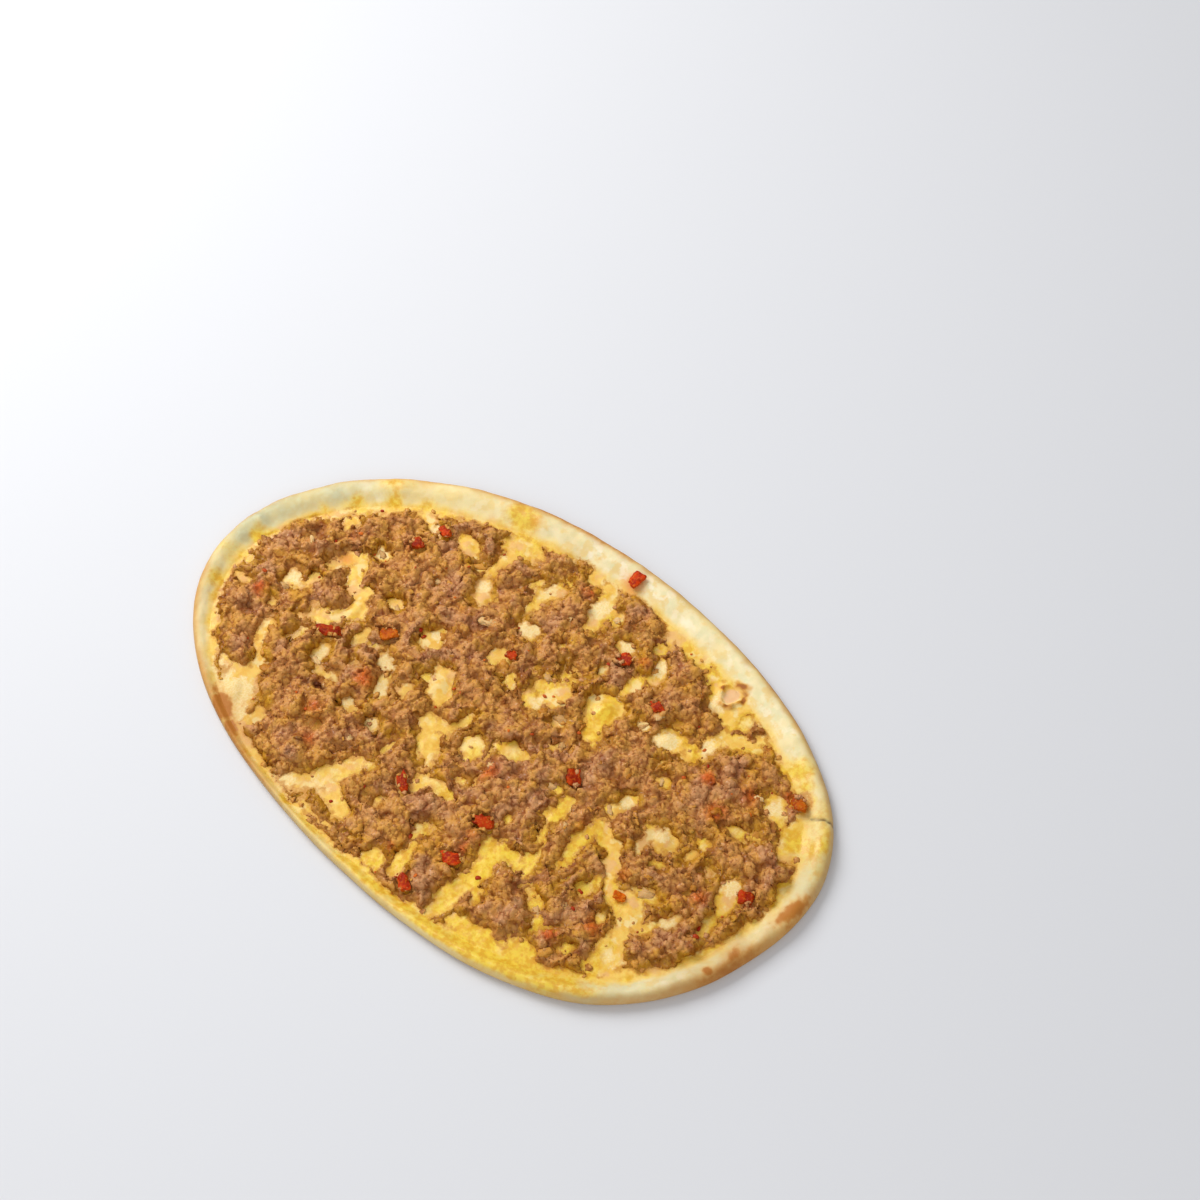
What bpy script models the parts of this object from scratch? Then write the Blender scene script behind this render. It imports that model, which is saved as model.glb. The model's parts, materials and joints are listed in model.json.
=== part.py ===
import math
import random

import bmesh
import bpy
from mathutils import Matrix, Vector, geometry, kdtree, noise

# A minced-meat sfiha: a thin oval flatbread with a low rim, a lacy heap of
# cooked mince on its flat field, and small pieces of red and orange pepper.
# Sizes are in millimetres, and MM turns them into metres. +X runs along the bread.
MM = 0.001
SEED = 11
GAP = 0.35                  # clearance between pieces that lie on each other

# Bread outline: an ellipse with a few long waves, fitted into this length and width
BREAD_LENGTH = 280.0
BREAD_WIDTH = 175.0
EDGE_WAVES = (              # waves round the edge, share of the radius, direction of a crest
    (1, 0.0175, -12.0), (2, 0.0220, 40.0), (3, 0.0165, -51.0), (4, 0.0195, 35.0), (5, 0.0045, 24.0),
)
EDGE_COLUMNS = 96
EDGE_UNEVEN = 0.5
EDGE_NOISE = (5.0, 3.7)     # how fine the noise round the edge is, and its layer

# Bread thickness: a flat field with a rounded rim, low and narrow at the front
FIELD = 3.6
RIM_RISE = 3.0
RIM_WIDTH = 11.6
RIM_WIDER = 2.4             # extra width at the back left
RIM_WIDER_AT = 125.0
RIM_NARROWING = 0.72
RIM_NARROW_AT = 248.0
RIM_NARROW_SPREAD = 42.0
RIM_LOWERING = 0.62
RIM_UNEVEN = 0.55
RIM_NOISE = (3.2, 8.1)
OUTER_PROFILE = (           # share of the rim's width inwards, share of the rim's height
    (0.20, 0.0), (0.06, 0.10), (0.0, 0.36), (0.04, 0.66), (0.16, 0.90), (0.34, 1.0),
)
INNER_PROFILE = (           # share of the rim's width inwards, share of the rise over the field
    (0.55, 0.84), (0.78, 0.34), (1.0, 0.0),
)

# Blisters in the bare dough: x, y, half length, half width, height, turn
BLISTERS = (
    (28.5, 28.0, 5.6, 4.6, 1.7, 60.0), (-75.5, -6.0, 3.9, 2.8, 1.1, 95.0),
    (82.5, 1.2, 4.2, 2.9, 1.2, 5.0), (-26.5, -7.0, 6.0, 3.4, 1.1, 120.0),
    (-85.0, -62.5, 5.5, 3.4, 1.3, -38.0), (93.5, -29.0, 3.8, 2.2, 0.9, -10.0),
    (56.0, 34.0, 3.4, 2.8, 1.0, 30.0), (-62.0, 46.0, 3.8, 2.4, 1.0, -5.0),
    (118.5, 33.5, 5.0, 2.8, 1.2, -60.0),
)
BLISTER_SUNK = 0.25         # share of a blister's height that lies inside the dough
BLISTER_UNEVEN = 0.16
BLISTER_GRAIN = 3.0         # size of the unevenness

# The low wall that a burst bubble leaves: x, y, half length, half width, turn
BURST_BUBBLE = (61.8, 65.5, 5.8, 4.0, 80.0)
BURST_WALL = 1.0
BURST_UNEVEN = 0.25
BURST_SIDES = 20
BURST_WALL_SIDES = 6

# Mince heap: a lumpy core round bare patches, with nuggets fused on it
MINCE_MARGIN = 1.3
MINCE_RAGGED = 1.1
BORDER_NOISE = (9.0, 1.3)
BARE_PATCHES = (            # x, y, half length, half width, turn of each patch of bare dough
    # left end
    (-92, 12, 5.5, 2.4, 25), (-87, 7, 6.5, 3.0, 110), (-80, 1, 6.0, 2.6, 150), (-75, -6, 5.8, 4.4, 95),
    (-82, -16, 8.0, 3.4, 38), (-97, 4, 2.8, 3.6, 0), (-98, -7, 4.2, 2.6, 70), (-104, -12, 4.2, 2.6, -10),
    (-121, -46, 14.0, 4.5, -20), (-84, -62, 14.0, 7.0, -38), (-95, -37, 8.0, 2.6, 105),
    (-87, -48, 7.0, 2.8, 120),
    # upper left
    (-62, 46, 6.5, 4.2, -5), (-82, 44, 9.0, 2.4, -5), (-46, 54, 13.0, 2.8, 84), (-43, 35, 7.0, 3.2, 130),
    (-22, 53, 6.0, 3.6, 55), (-24, 48, 6.0, 2.2, 100), (-17, 34, 5.0, 3.8, -5),
    # upper middle
    (-2, 61, 12.0, 3.6, 95), (1, 54, 4.0, 3.6, 90), (18, 54, 3.8, 3.8, 20), (-13, 71, 6.0, 3.0, 120),
    (34, 53, 7.5, 3.2, 110), (30, 42, 6.0, 2.6, 85), (29, 28, 8.0, 6.6, 60), (33, 17, 6.0, 3.6, 110),
    (11, 21, 8.5, 3.8, 70), (5, 12, 6.0, 3.2, -30), (-16, 18, 5.5, 2.4, 130),
    # upper right
    (63, 65, 11.5, 9.6, 80), (78, 52, 9.0, 3.6, 28), (70, 43, 9.0, 2.8, 88), (56, 34, 5.5, 4.8, 30),
    (45, 32, 2.8, 2.4, 0), (107, 37, 6.5, 2.8, -15), (119, 33, 8.5, 5.0, -60), (36, 70, 12.0, 3.0, -8),
    # right end
    (115, 0, 8.0, 3.6, 105), (116, -16, 6.0, 2.8, 85), (82, 1, 6.0, 4.6, 5), (77, -5, 5.5, 2.6, 100),
    (62, 2, 6.5, 2.4, 80), (66, -12, 8.0, 3.0, -15), (60, -24, 9.0, 2.4, 90), (74, -19, 6.0, 3.0, -50),
    (92, -20, 5.0, 3.6, 20), (90, -28, 10.0, 4.2, -10), (96, -38, 7.0, 3.2, -70), (105, -22, 6.0, 2.6, 45),
    # lower right
    (40, -51, 13.0, 4.2, 97), (45, -42, 4.5, 2.6, -10), (51, -38, 6.5, 2.0, 105), (97, -49, 9.0, 5.0, 60),
    (62, -48, 3.0, 2.2, 0), (69, -53, 4.0, 1.8, 130), (38, -70, 11.0, 4.0, 85), (72, -67, 7.0, 4.0, 20),
    (58, -73, 14.0, 3.6, 8), (15, -69, 8.0, 2.4, 95), (7, -77, 4.5, 3.2, 20),
    # lower middle
    (-12, -28, 12.5, 3.6, -45), (4, -40, 8.0, 2.8, 0), (-8, -14, 6.0, 1.9, 75), (3, -19, 6.0, 4.0, 110),
    (15, -10, 7.5, 3.2, 15), (-26, -8, 9.0, 5.0, 120), (45, -15, 6.5, 2.4, 100), (12, -56, 5.0, 1.6, 80),
    # lower left
    (-49, -14, 5.5, 3.0, -25), (-42, -23, 7.0, 3.6, 110), (-35, -18, 4.0, 2.8, 20), (-64, -13, 3.0, 4.2, 0),
    (-71, -29, 6.0, 2.6, 110), (-63, -34, 5.0, 1.8, 5), (-46, -37, 5.0, 2.0, 0), (-34, -37, 3.4, 2.2, 0),
    (-43, 6, 6.5, 3.2, 75), (-29, -60, 11.0, 4.4, 65), (-24, -51, 5.0, 2.0, 20), (-37, -72, 9.0, 3.6, 35),
    (-21, -69, 9.0, 3.6, -25),
)
PATCH_STEP = 4.5            # length of a side of a patch's outline
PATCH_SIDES = 7             # fewest sides of a patch
PATCH_RAGGED = 0.3
PATCH_NOISE = 1.7
PATCH_LAYER = 2.1           # sets one patch's ragged edge apart from the next
NEARNESS = 0.02             # spots nearer than this count as one
ON_EDGE = 0.1               # a spot nearer the heap's edge than this is on it
GRID_STEP = 3.65            # spacing of the points that carry the heap's top
GRID_SHAKE = 0.65

# Clumps that the core's top swells into, largest first: radius, rise, places tried
CLUMP_SIZES = ((6.8, 3.7, 500), (5.4, 3.2, 1200), (4.2, 2.7, 2500))
CLUMP_SPACING = 0.66
CLUMP_INSIDE = 0.35         # share of a clump's radius from its middle to the heap's edge
LEAST_RISE = 0.7            # lowest clump or nugget of a size, as a share of its rise
CORE_THICKNESS = 1.9
EDGE_THICKNESS = 1.7
EDGE_SLOPE = 1.5
HEAP_UNEVEN = 0.16
HEAP_NOISE = 0.35

# Nuggets fused on the core, largest first: radius, rise, places tried
NUGGET_SIZES = ((3.8, 2.1, 90), (2.9, 1.8, 110))
NUGGET_SPACING = 1.5
NUGGET_SUNK = 0.6           # how far a nugget's middle lies under the core's top
NUGGET_SQUEEZE = 0.7        # narrowest nugget, as a share of its length
NUGGET_UNEVEN = 0.44
NUGGET_NOISE = 1.6
NUGGET_LAYER = 7.3          # sets one nugget's unevenness apart from the next
NUGGET_REACH = 1.25         # farthest corner of an uneven nugget, as a share of its radius
NUGGET_LIFT = (0.05, 0.30)  # a nugget's flat side lies this far over the core's underside

# Pieces of pepper: x, y, length, width, thickness, turn, colour, what each lies on
PEPPERS = (
    (-73.0, 44.0, 6.0, 5.0, 3.0, 20.0, "red", "mince"),
    (-78.0, 33.0, 5.4, 4.6, 2.8, -30.0, "red", "mince"),
    (0.0, 79.0, 6.6, 5.0, 3.0, 75.0, "red", "rim"),
    (21.0, 49.0, 6.4, 5.4, 3.0, 15.0, "red", "mince"),
    (44.0, 41.0, 6.0, 4.6, 2.8, -25.0, "red", "mince"),
    (-56.0, -5.0, 6.8, 5.6, 3.2, 50.0, "orange", "mince"),
    (-75.0, -20.0, 10.5, 4.4, 2.8, 28.0, "red", "mince"),
    (41.0, -3.0, 7.0, 5.6, 3.0, -50.0, "red", "mince"),
    (28.0, -39.0, 8.6, 5.6, 3.0, 12.0, "red", "mince"),
    (29.0, -58.0, 7.6, 5.6, 3.0, 30.0, "red", "mince"),
    (22.5, -76.5, 7.4, 4.4, 2.8, -38.0, "red", "mince"),
    (-6.0, -48.0, 8.6, 3.8, 2.8, -32.0, "red", "mince"),
    (120.5, 3.5, 6.2, 5.4, 3.2, 40.0, "red", "mince"),
    (-13.5, 20.5, 5.4, 3.8, 2.6, 10.0, "red", "mince"),
    (111.0, 46.0, 6.6, 5.0, 3.0, -50.0, "orange", "mince"),
    (85.5, -27.0, 4.8, 4.0, 2.4, 10.0, "orange", "field"),
)
PEPPER_BED = 0.9            # core left under a piece of pepper
PEPPER_BEVEL = 0.55
PEPPER_TAPER = 0.22         # most that a corner is drawn in
PEPPER_DROP = 0.18          # most that an upper corner is lowered, as a share of the thickness
PEPPER_ROOM = 0.45          # clearance round a piece in its bed
PEPPER_REACH = 0.7          # share of a piece's sides that nuggets keep away from
RIM_LEAN = 17.0             # a piece on the rim leans down its inner slope
RIM_SPOTS = 12              # spots along it where the dough's height is read
BED_HEIGHT = 12.0           # cuts a bed through the mince above it

WELD = 0.004
SLIVER = 0.002
SHARP_ANGLE = 50.0

COLOURS = {                 # colour, roughness
    "bread": ((0.80, 0.62, 0.33, 1.0), 0.62),
    "mince": ((0.33, 0.17, 0.085, 1.0), 0.58),
    "red": ((0.50, 0.035, 0.012, 1.0), 0.32),
    "orange": ((0.72, 0.20, 0.02, 1.0), 0.32),
}


def clear_scene():
    for obj in list(bpy.data.objects):
        bpy.data.objects.remove(obj, do_unlink=True)


def material(name):
    found = bpy.data.materials.get(name)
    if found:
        return found
    made = bpy.data.materials.new(name)
    made.use_nodes = True
    shader = made.node_tree.nodes["Principled BSDF"]
    colour, roughness = COLOURS[name]
    shader.inputs["Base Color"].default_value = colour
    shader.inputs["Roughness"].default_value = roughness
    shader.inputs["Metallic"].default_value = 0.0
    made.diffuse_color = colour
    return made


def object_from(mesh_builder, name, colour):
    mesh = bpy.data.meshes.new(name)
    mesh_builder.to_mesh(mesh)
    mesh_builder.free()
    obj = bpy.data.objects.new(name, mesh)
    bpy.context.scene.collection.objects.link(obj)
    if colour:
        mesh.materials.append(material(colour))
    return obj


def swell(angle, middle, spread):
    # A smooth rise from 0 to 1 and back, centred on one direction; angles in degrees
    away = (angle - middle + 180.0) % 360.0 - 180.0
    return math.exp(-((away / spread) ** 2))


def round_noise(angle, fineness, layer):
    # Noise that is back at its start after a full turn
    turn = math.radians(angle)
    return noise.noise(Vector((fineness * math.cos(turn), fineness * math.sin(turn), layer)))


def raw_edge(angle):
    turn = math.radians(angle)
    radius = 1.0
    for waves, share, crest in EDGE_WAVES:
        radius += share * math.cos(waves * (turn - math.radians(crest)))
    wobble = EDGE_UNEVEN * round_noise(angle, *EDGE_NOISE)
    half_length = 0.5 * BREAD_LENGTH * radius + wobble
    half_width = 0.5 * BREAD_WIDTH * radius + wobble
    return Vector((half_length * math.cos(turn), half_width * math.sin(turn)))


class Outline:
    # The bread's edge in even columns, each with its inward direction and its rim

    def __init__(self):
        self.angles = [360.0 * step / EDGE_COLUMNS for step in range(EDGE_COLUMNS)]
        raw = [raw_edge(angle) for angle in self.angles]
        low = Vector((min(p.x for p in raw), min(p.y for p in raw)))
        high = Vector((max(p.x for p in raw), max(p.y for p in raw)))
        middle = (low + high) / 2.0
        stretch = Vector((BREAD_LENGTH / (high.x - low.x), BREAD_WIDTH / (high.y - low.y)))
        self.points = [Vector(((p.x - middle.x) * stretch.x, (p.y - middle.y) * stretch.y)) for p in raw]
        self.inward = []
        for step in range(EDGE_COLUMNS):
            along = self.points[(step + 1) % EDGE_COLUMNS] - self.points[step - 1]
            self.inward.append(Vector((-along.y, along.x)).normalized())
        self.widths = [self.rim_width(angle) for angle in self.angles]
        self.heights = [self.rim_height(angle) for angle in self.angles]

    def rim_width(self, angle):
        wide = RIM_WIDTH + RIM_WIDER * math.cos(math.radians(angle - RIM_WIDER_AT))
        return wide * (1.0 - RIM_NARROWING * swell(angle, RIM_NARROW_AT, RIM_NARROW_SPREAD))

    def rim_height(self, angle):
        rise = RIM_RISE * (1.0 - RIM_LOWERING * swell(angle, RIM_NARROW_AT, RIM_NARROW_SPREAD))
        return FIELD + rise + RIM_UNEVEN * round_noise(angle, *RIM_NOISE)

    def ring(self, share):
        pairs = zip(self.points, self.inward, self.widths)
        return [point + inward * width * share for point, inward, width in pairs]

    def nearest(self, x, y):
        spot = Vector((x, y))
        return min(range(EDGE_COLUMNS), key=lambda step: (self.points[step] - spot).length_squared)

    def inset(self, x, y):
        # Distance inside the edge less the rim's width there
        step = self.nearest(x, y)
        return (Vector((x, y)) - self.points[step]).dot(self.inward[step]) - self.widths[step]

    def top(self, x, y):
        # Height of the dough's upper face inside the rim's crest
        step = self.nearest(x, y)
        share = 1.0 + self.inset(x, y) / self.widths[step]
        slope = [OUTER_PROFILE[-1], *INNER_PROFILE]
        for (start, high), (end, low) in zip(slope, slope[1:]):
            if share < end:
                lift = high + (low - high) * (share - start) / (end - start)
                return FIELD + (self.heights[step] - FIELD) * min(lift, 1.0)
        return FIELD


def turned_spot(x, y, along, across, turn):
    # The spot this far along and across a shape that is centred on x, y and turned
    angle = math.radians(turn)
    return Vector((
        x + along * math.cos(angle) - across * math.sin(angle),
        y + along * math.sin(angle) + across * math.cos(angle),
    ))


def ellipse_points(patch, count, layer):
    # Points round a bare patch's ellipse, pushed in and out by a fixed noise
    x, y, half_length, half_width, turn = patch
    points = []
    for step in range(count):
        way = 360.0 * step / count
        push = 1.0 + PATCH_RAGGED * round_noise(way, PATCH_NOISE, layer)
        along = half_length * push * math.cos(math.radians(way))
        across = half_width * push * math.sin(math.radians(way))
        points.append(turned_spot(x, y, along, across, turn))
    return points


def outside_ellipse(x, y, patch):
    # Distance from a spot to an ellipse, measured towards its middle; negative inside
    middle_x, middle_y, half_length, half_width, turn = patch
    angle = math.radians(turn)
    along = (x - middle_x) * math.cos(angle) + (y - middle_y) * math.sin(angle)
    across = (y - middle_y) * math.cos(angle) - (x - middle_x) * math.sin(angle)
    scaled = math.hypot(along / half_length, across / half_width)
    if scaled < 0.001:
        return -half_width
    return math.hypot(along, across) * (1.0 - 1.0 / scaled)


def mince_room(x, y, outline):
    # How far a spot lies inside the mince, from its border and from each bare patch
    room = outline.inset(x, y) - MINCE_MARGIN
    for patch in BARE_PATCHES:
        room = min(room, outside_ellipse(x, y, patch))
    return room


def rising_room(x, y):
    # Distance from a spot to the nearest blister, the burst bubble's wall or pepper on the dough
    ellipses = [(*blister[:4], blister[5]) for blister in BLISTERS]
    bubble_x, bubble_y, half_length, half_width, turn = BURST_BUBBLE
    ellipses.append((bubble_x, bubble_y, half_length + BURST_WALL, half_width + BURST_WALL, turn))
    for pepper in PEPPERS:
        if pepper[7] == "field":
            reaches = [PEPPER_REACH * side for side in pepper[2:4]]
            ellipses.append((*pepper[:2], *reaches, pepper[5]))
    return min(outside_ellipse(x, y, ellipse) for ellipse in ellipses)


def prism(points, bottom, top):
    # A closed upright prism over a ring of points that runs anticlockwise
    shape = bmesh.new()
    lower = [shape.verts.new((p.x * MM, p.y * MM, bottom * MM)) for p in points]
    upper = [shape.verts.new((p.x * MM, p.y * MM, top * MM)) for p in points]
    shape.faces.new(list(reversed(lower)))
    shape.faces.new(upper)
    count = len(points)
    for step in range(count):
        after = (step + 1) % count
        shape.faces.new((lower[step], lower[after], upper[after], upper[step]))
    return shape


def working_collection(name, objects):
    held = bpy.data.collections.new(name)
    bpy.context.scene.collection.children.link(held)
    for obj in objects:
        bpy.context.scene.collection.objects.unlink(obj)
        held.objects.link(obj)
        obj.hide_render = True
        obj.display_type = "WIRE"
    return held


def boolean(obj, operation, held):
    cut = obj.modifiers.new(operation.title(), "BOOLEAN")
    cut.operation = operation
    cut.solver = "EXACT"
    cut.operand_type = "COLLECTION"
    cut.collection = held


def apply_and_tidy(obj, collections):
    # Applies the booleans, then removes their operands and any scraps
    evaluated = obj.evaluated_get(bpy.context.evaluated_depsgraph_get())
    mesh = bpy.data.meshes.new_from_object(evaluated)
    obj.modifiers.clear()
    old = obj.data
    obj.data = mesh
    bpy.data.meshes.remove(old)
    mesh.name = obj.name
    for held in collections:
        for operand in list(held.objects):
            bpy.data.objects.remove(operand, do_unlink=True)
        bpy.data.collections.remove(held)
    shape = bmesh.new()
    shape.from_mesh(mesh)
    bmesh.ops.remove_doubles(shape, verts=shape.verts, dist=WELD * MM)
    bmesh.ops.dissolve_degenerate(shape, edges=shape.edges, dist=SLIVER * MM)
    bmesh.ops.triangulate(shape, faces=shape.faces)
    drop_scraps(shape)
    shape.to_mesh(mesh)
    shape.free()


def drop_scraps(shape):
    # Keeps the largest of the bodies that the booleans left
    left = set(shape.verts)
    bodies = []
    while left:
        body = {left.pop()}
        front = list(body)
        while front:
            for edge in front.pop().link_edges:
                for vert in edge.verts:
                    if vert not in body:
                        body.add(vert)
                        front.append(vert)
        left -= body
        bodies.append(body)
    bodies.sort(key=len)
    for body in bodies[:-1]:
        bmesh.ops.delete(shape, geom=list(body), context="VERTS")


def make_bread(outline):
    shape = bmesh.new()
    rings = []
    for share, lift in OUTER_PROFILE:
        points = outline.ring(share)
        rings.append([(p.x, p.y, height * lift) for p, height in zip(points, outline.heights)])
    for share, lift in INNER_PROFILE:
        points = outline.ring(share)
        rings.append([
            (p.x, p.y, FIELD + (height - FIELD) * lift) for p, height in zip(points, outline.heights)
        ])
    verts = [[shape.verts.new(Vector(place) * MM) for place in ring] for ring in rings]
    for lower, upper in zip(verts, verts[1:]):
        for step in range(EDGE_COLUMNS):
            after = (step + 1) % EDGE_COLUMNS
            shape.faces.new((lower[step], lower[after], upper[after], upper[step]))
    shape.faces.new(list(reversed(verts[0])))
    shape.faces.new(verts[-1])
    bmesh.ops.triangulate(shape, faces=shape.faces)
    bread = object_from(shape, "bread", "bread")
    risings = [make_blister(index, blister) for index, blister in enumerate(BLISTERS)]
    risings.append(make_burst_bubble())
    held = working_collection("risings", risings)
    boolean(bread, "UNION", held)
    apply_and_tidy(bread, [held])
    smooth(bread)
    return bread


def make_blister(index, blister):
    x, y, half_length, half_width, height, turn = blister
    shape = bmesh.new()
    sunk = BLISTER_SUNK * height
    size = (half_length * MM, half_width * MM, (height + sunk) * MM)
    bmesh.ops.create_icosphere(shape, subdivisions=2, radius=1.0, matrix=Matrix.Diagonal((*size, 1.0)))
    for vert in shape.verts:
        grain = vert.co / (BLISTER_GRAIN * MM) + Vector((index, 0.0, 0.0))
        vert.co *= 1.0 + BLISTER_UNEVEN * noise.noise(grain)
    spin = Matrix.Rotation(math.radians(turn), 4, "Z")
    place = Matrix.Translation(Vector((x, y, FIELD - sunk)) * MM) @ spin
    bmesh.ops.transform(shape, matrix=place, verts=shape.verts)
    return object_from(shape, "blister_%02d" % (index + 1), None)


def make_burst_bubble():
    # An uneven ring, sunk to its middle in the field
    x, y, half_length, half_width, turn = BURST_BUBBLE
    shape = bmesh.new()
    rings = []
    for step in range(BURST_SIDES):
        way = 2.0 * math.pi * step / BURST_SIDES
        wall = BURST_WALL * (1.0 + BURST_UNEVEN * math.cos(way))
        ring = []
        for part in range(BURST_WALL_SIDES):
            lean = 2.0 * math.pi * part / BURST_WALL_SIDES
            along = (half_length + wall * math.cos(lean)) * math.cos(way)
            across = (half_width + wall * math.cos(lean)) * math.sin(way)
            spot = turned_spot(x, y, along, across, turn)
            ring.append(shape.verts.new(Vector((spot.x, spot.y, FIELD + wall * math.sin(lean))) * MM))
        rings.append(ring)
    for here, there in zip(rings, rings[1:] + rings[:1]):
        for part in range(BURST_WALL_SIDES):
            after = (part + 1) % BURST_WALL_SIDES
            shape.faces.new((here[part], there[part], there[after], here[after]))
    return object_from(shape, "burst_bubble", None)


def patch_rings():
    rings = []
    for index, patch in enumerate(BARE_PATCHES):
        sides = max(PATCH_SIDES, round(math.pi * (patch[2] + patch[3]) / PATCH_STEP))
        rings.append(ellipse_points(patch, sides, PATCH_LAYER * index))
    return rings


def mince_border(outline):
    border = []
    columns = zip(outline.points, outline.inward, outline.widths, outline.angles)
    for point, inward, width, angle in columns:
        wobble = MINCE_RAGGED * round_noise(angle, *BORDER_NOISE)
        border.append(point + inward * (width + MINCE_MARGIN + wobble))
    return border


def inside_ring(spot, ring):
    crossings = 0
    for start, end in zip(ring, ring[1:] + ring[:1]):
        if (start.y > spot.y) != (end.y > spot.y):
            reach = start.x + (spot.y - start.y) * (end.x - start.x) / (end.y - start.y)
            crossings += reach > spot.x
    return crossings % 2 == 1


def largest_part(triangles):
    # The triangles joined edge to edge in one piece, without any loose islands
    by_edge = {}
    for index, corners in enumerate(triangles):
        for pair in zip(corners, corners[1:] + corners[:1]):
            by_edge.setdefault(frozenset(pair), []).append(index)
    left = set(range(len(triangles)))
    best = []
    while left:
        front = [left.pop()]
        part = list(front)
        while front:
            corners = triangles[front.pop()]
            for pair in zip(corners, corners[1:] + corners[:1]):
                for index in by_edge[frozenset(pair)]:
                    if index in left:
                        left.discard(index)
                        front.append(index)
                        part.append(index)
        best = max(best, part, key=len)
    return [triangles[index] for index in sorted(best)]


def open_pairs(triangles):
    # Edges with one triangle only, each in its triangle's direction
    pairs = [pair for corners in triangles for pair in zip(corners, corners[1:] + corners[:1])]
    known = set(pairs)
    return [pair for pair in pairs if (pair[1], pair[0]) not in known]


def triangulate(spots, edges, keeps):
    found, _, faces, *_ = geometry.delaunay_2d_cdt(spots, edges, [], 0, NEARNESS)
    kept = []
    for face in faces:
        middle = sum((found[index] for index in face), Vector((0.0, 0.0))) / 3.0
        if keeps(middle):
            kept.append(tuple(face))
    return found, largest_part(kept)


class HeapPlan:
    # The mince seen from above: its flat outline, then its outline with points inside it

    def __init__(self, outline):
        border = mince_border(outline)
        rings = patch_rings()

        def in_mince(spot):
            return inside_ring(spot, border) and not any(inside_ring(spot, ring) for ring in rings)

        spots, edges = [], []
        for ring in [border, *rings]:
            start, count = len(spots), len(ring)
            spots += ring
            edges += [(start + step, start + (step + 1) % count) for step in range(count)]
        found, faces = triangulate(spots, edges, in_mince)
        pairs = open_pairs(faces)
        order = {old: new for new, old in enumerate(dict.fromkeys(i for pair in pairs for i in pair))}
        self.edge_spots = [found[old] for old in order]
        self.edge_pairs = [(order[start], order[end]) for start, end in pairs]
        self.flat_faces = [tuple(order[i] for i in face) for face in faces]
        self.tree = self.edge_tree()
        inner = self.inner_spots(in_mince)
        self.spots, self.faces = triangulate(self.edge_spots + inner, self.edge_pairs, in_mince)

    def edge_tree(self):
        marks = []
        for start, end in self.edge_pairs:
            along = self.edge_spots[end] - self.edge_spots[start]
            steps = max(1, math.ceil(along.length))
            marks += [self.edge_spots[start] + along * step / steps for step in range(steps)]
        tree = kdtree.KDTree(len(marks))
        for index, mark in enumerate(marks):
            tree.insert((mark.x, mark.y, 0.0), index)
        tree.balance()
        return tree

    def room(self, spot):
        return self.tree.find((spot.x, spot.y, 0.0))[2]

    def inner_spots(self, in_mince):
        # A shaken grid of triangles, kept a little way inside the outline
        rng = random.Random(SEED)
        spots = []
        rise = GRID_STEP * math.sqrt(0.75)
        rows = math.ceil(BREAD_WIDTH / rise)
        columns = math.ceil(BREAD_LENGTH / GRID_STEP)
        for row in range(rows):
            for column in range(columns):
                x = (column + 0.5 * (row % 2)) * GRID_STEP - 0.5 * BREAD_LENGTH
                y = row * rise - 0.5 * BREAD_WIDTH
                shake = Vector((rng.uniform(-1.0, 1.0), rng.uniform(-1.0, 1.0)))
                spot = Vector((x, y)) + GRID_SHAKE * shake
                if self.room(spot) > 0.5 * GRID_STEP and in_mince(spot):
                    spots.append(spot)
        return spots


def scatter(sizes, spacing, allowed, seed):
    # Places discs by size, largest first, at least the spacing's share of their radii apart
    rng = random.Random(seed)
    placed = []
    for radius, rise, tries in sizes:
        for attempt in range(tries):
            spot = Vector((rng.uniform(-0.5, 0.5) * BREAD_LENGTH, rng.uniform(-0.5, 0.5) * BREAD_WIDTH))
            if any((spot - other[0]).length < spacing * (radius + other[1]) for other in placed):
                continue
            if allowed(spot, radius):
                placed.append((spot, radius, rise * rng.uniform(LEAST_RISE, 1.0)))
    return placed


def heap_height(spot, room, clumps):
    # Height over the heap's underside: rounded clumps with creases between them
    height = CORE_THICKNESS
    for middle, radius, rise in clumps:
        away = (spot - middle).length / radius
        if away < 1.0:
            height = max(height, CORE_THICKNESS + rise * math.sqrt(1.0 - away * away))
    return min(height, EDGE_THICKNESS + EDGE_SLOPE * room)


def heap_core(plan, clumps):
    shape = bmesh.new()
    bottom = FIELD + GAP
    lower = [shape.verts.new(Vector((spot.x, spot.y, bottom)) * MM) for spot in plan.edge_spots]
    upper = []
    for spot in plan.spots:
        room = plan.room(spot)
        height = heap_height(spot, room if room > ON_EDGE else 0.0, clumps)
        height *= 1.0 + HEAP_UNEVEN * noise.noise(Vector((spot.x, spot.y, 0.0)) * HEAP_NOISE)
        upper.append(shape.verts.new(Vector((spot.x, spot.y, bottom + height)) * MM))
    for face in plan.faces:
        shape.faces.new([upper[index] for index in face])
    for face in plan.flat_faces:
        shape.faces.new([lower[index] for index in reversed(face)])
    for start, end in plan.edge_pairs:
        shape.faces.new((lower[start], lower[end], upper[end], upper[start]))
    bmesh.ops.triangulate(shape, faces=shape.faces)
    return object_from(shape, "mince", "mince")


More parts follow.
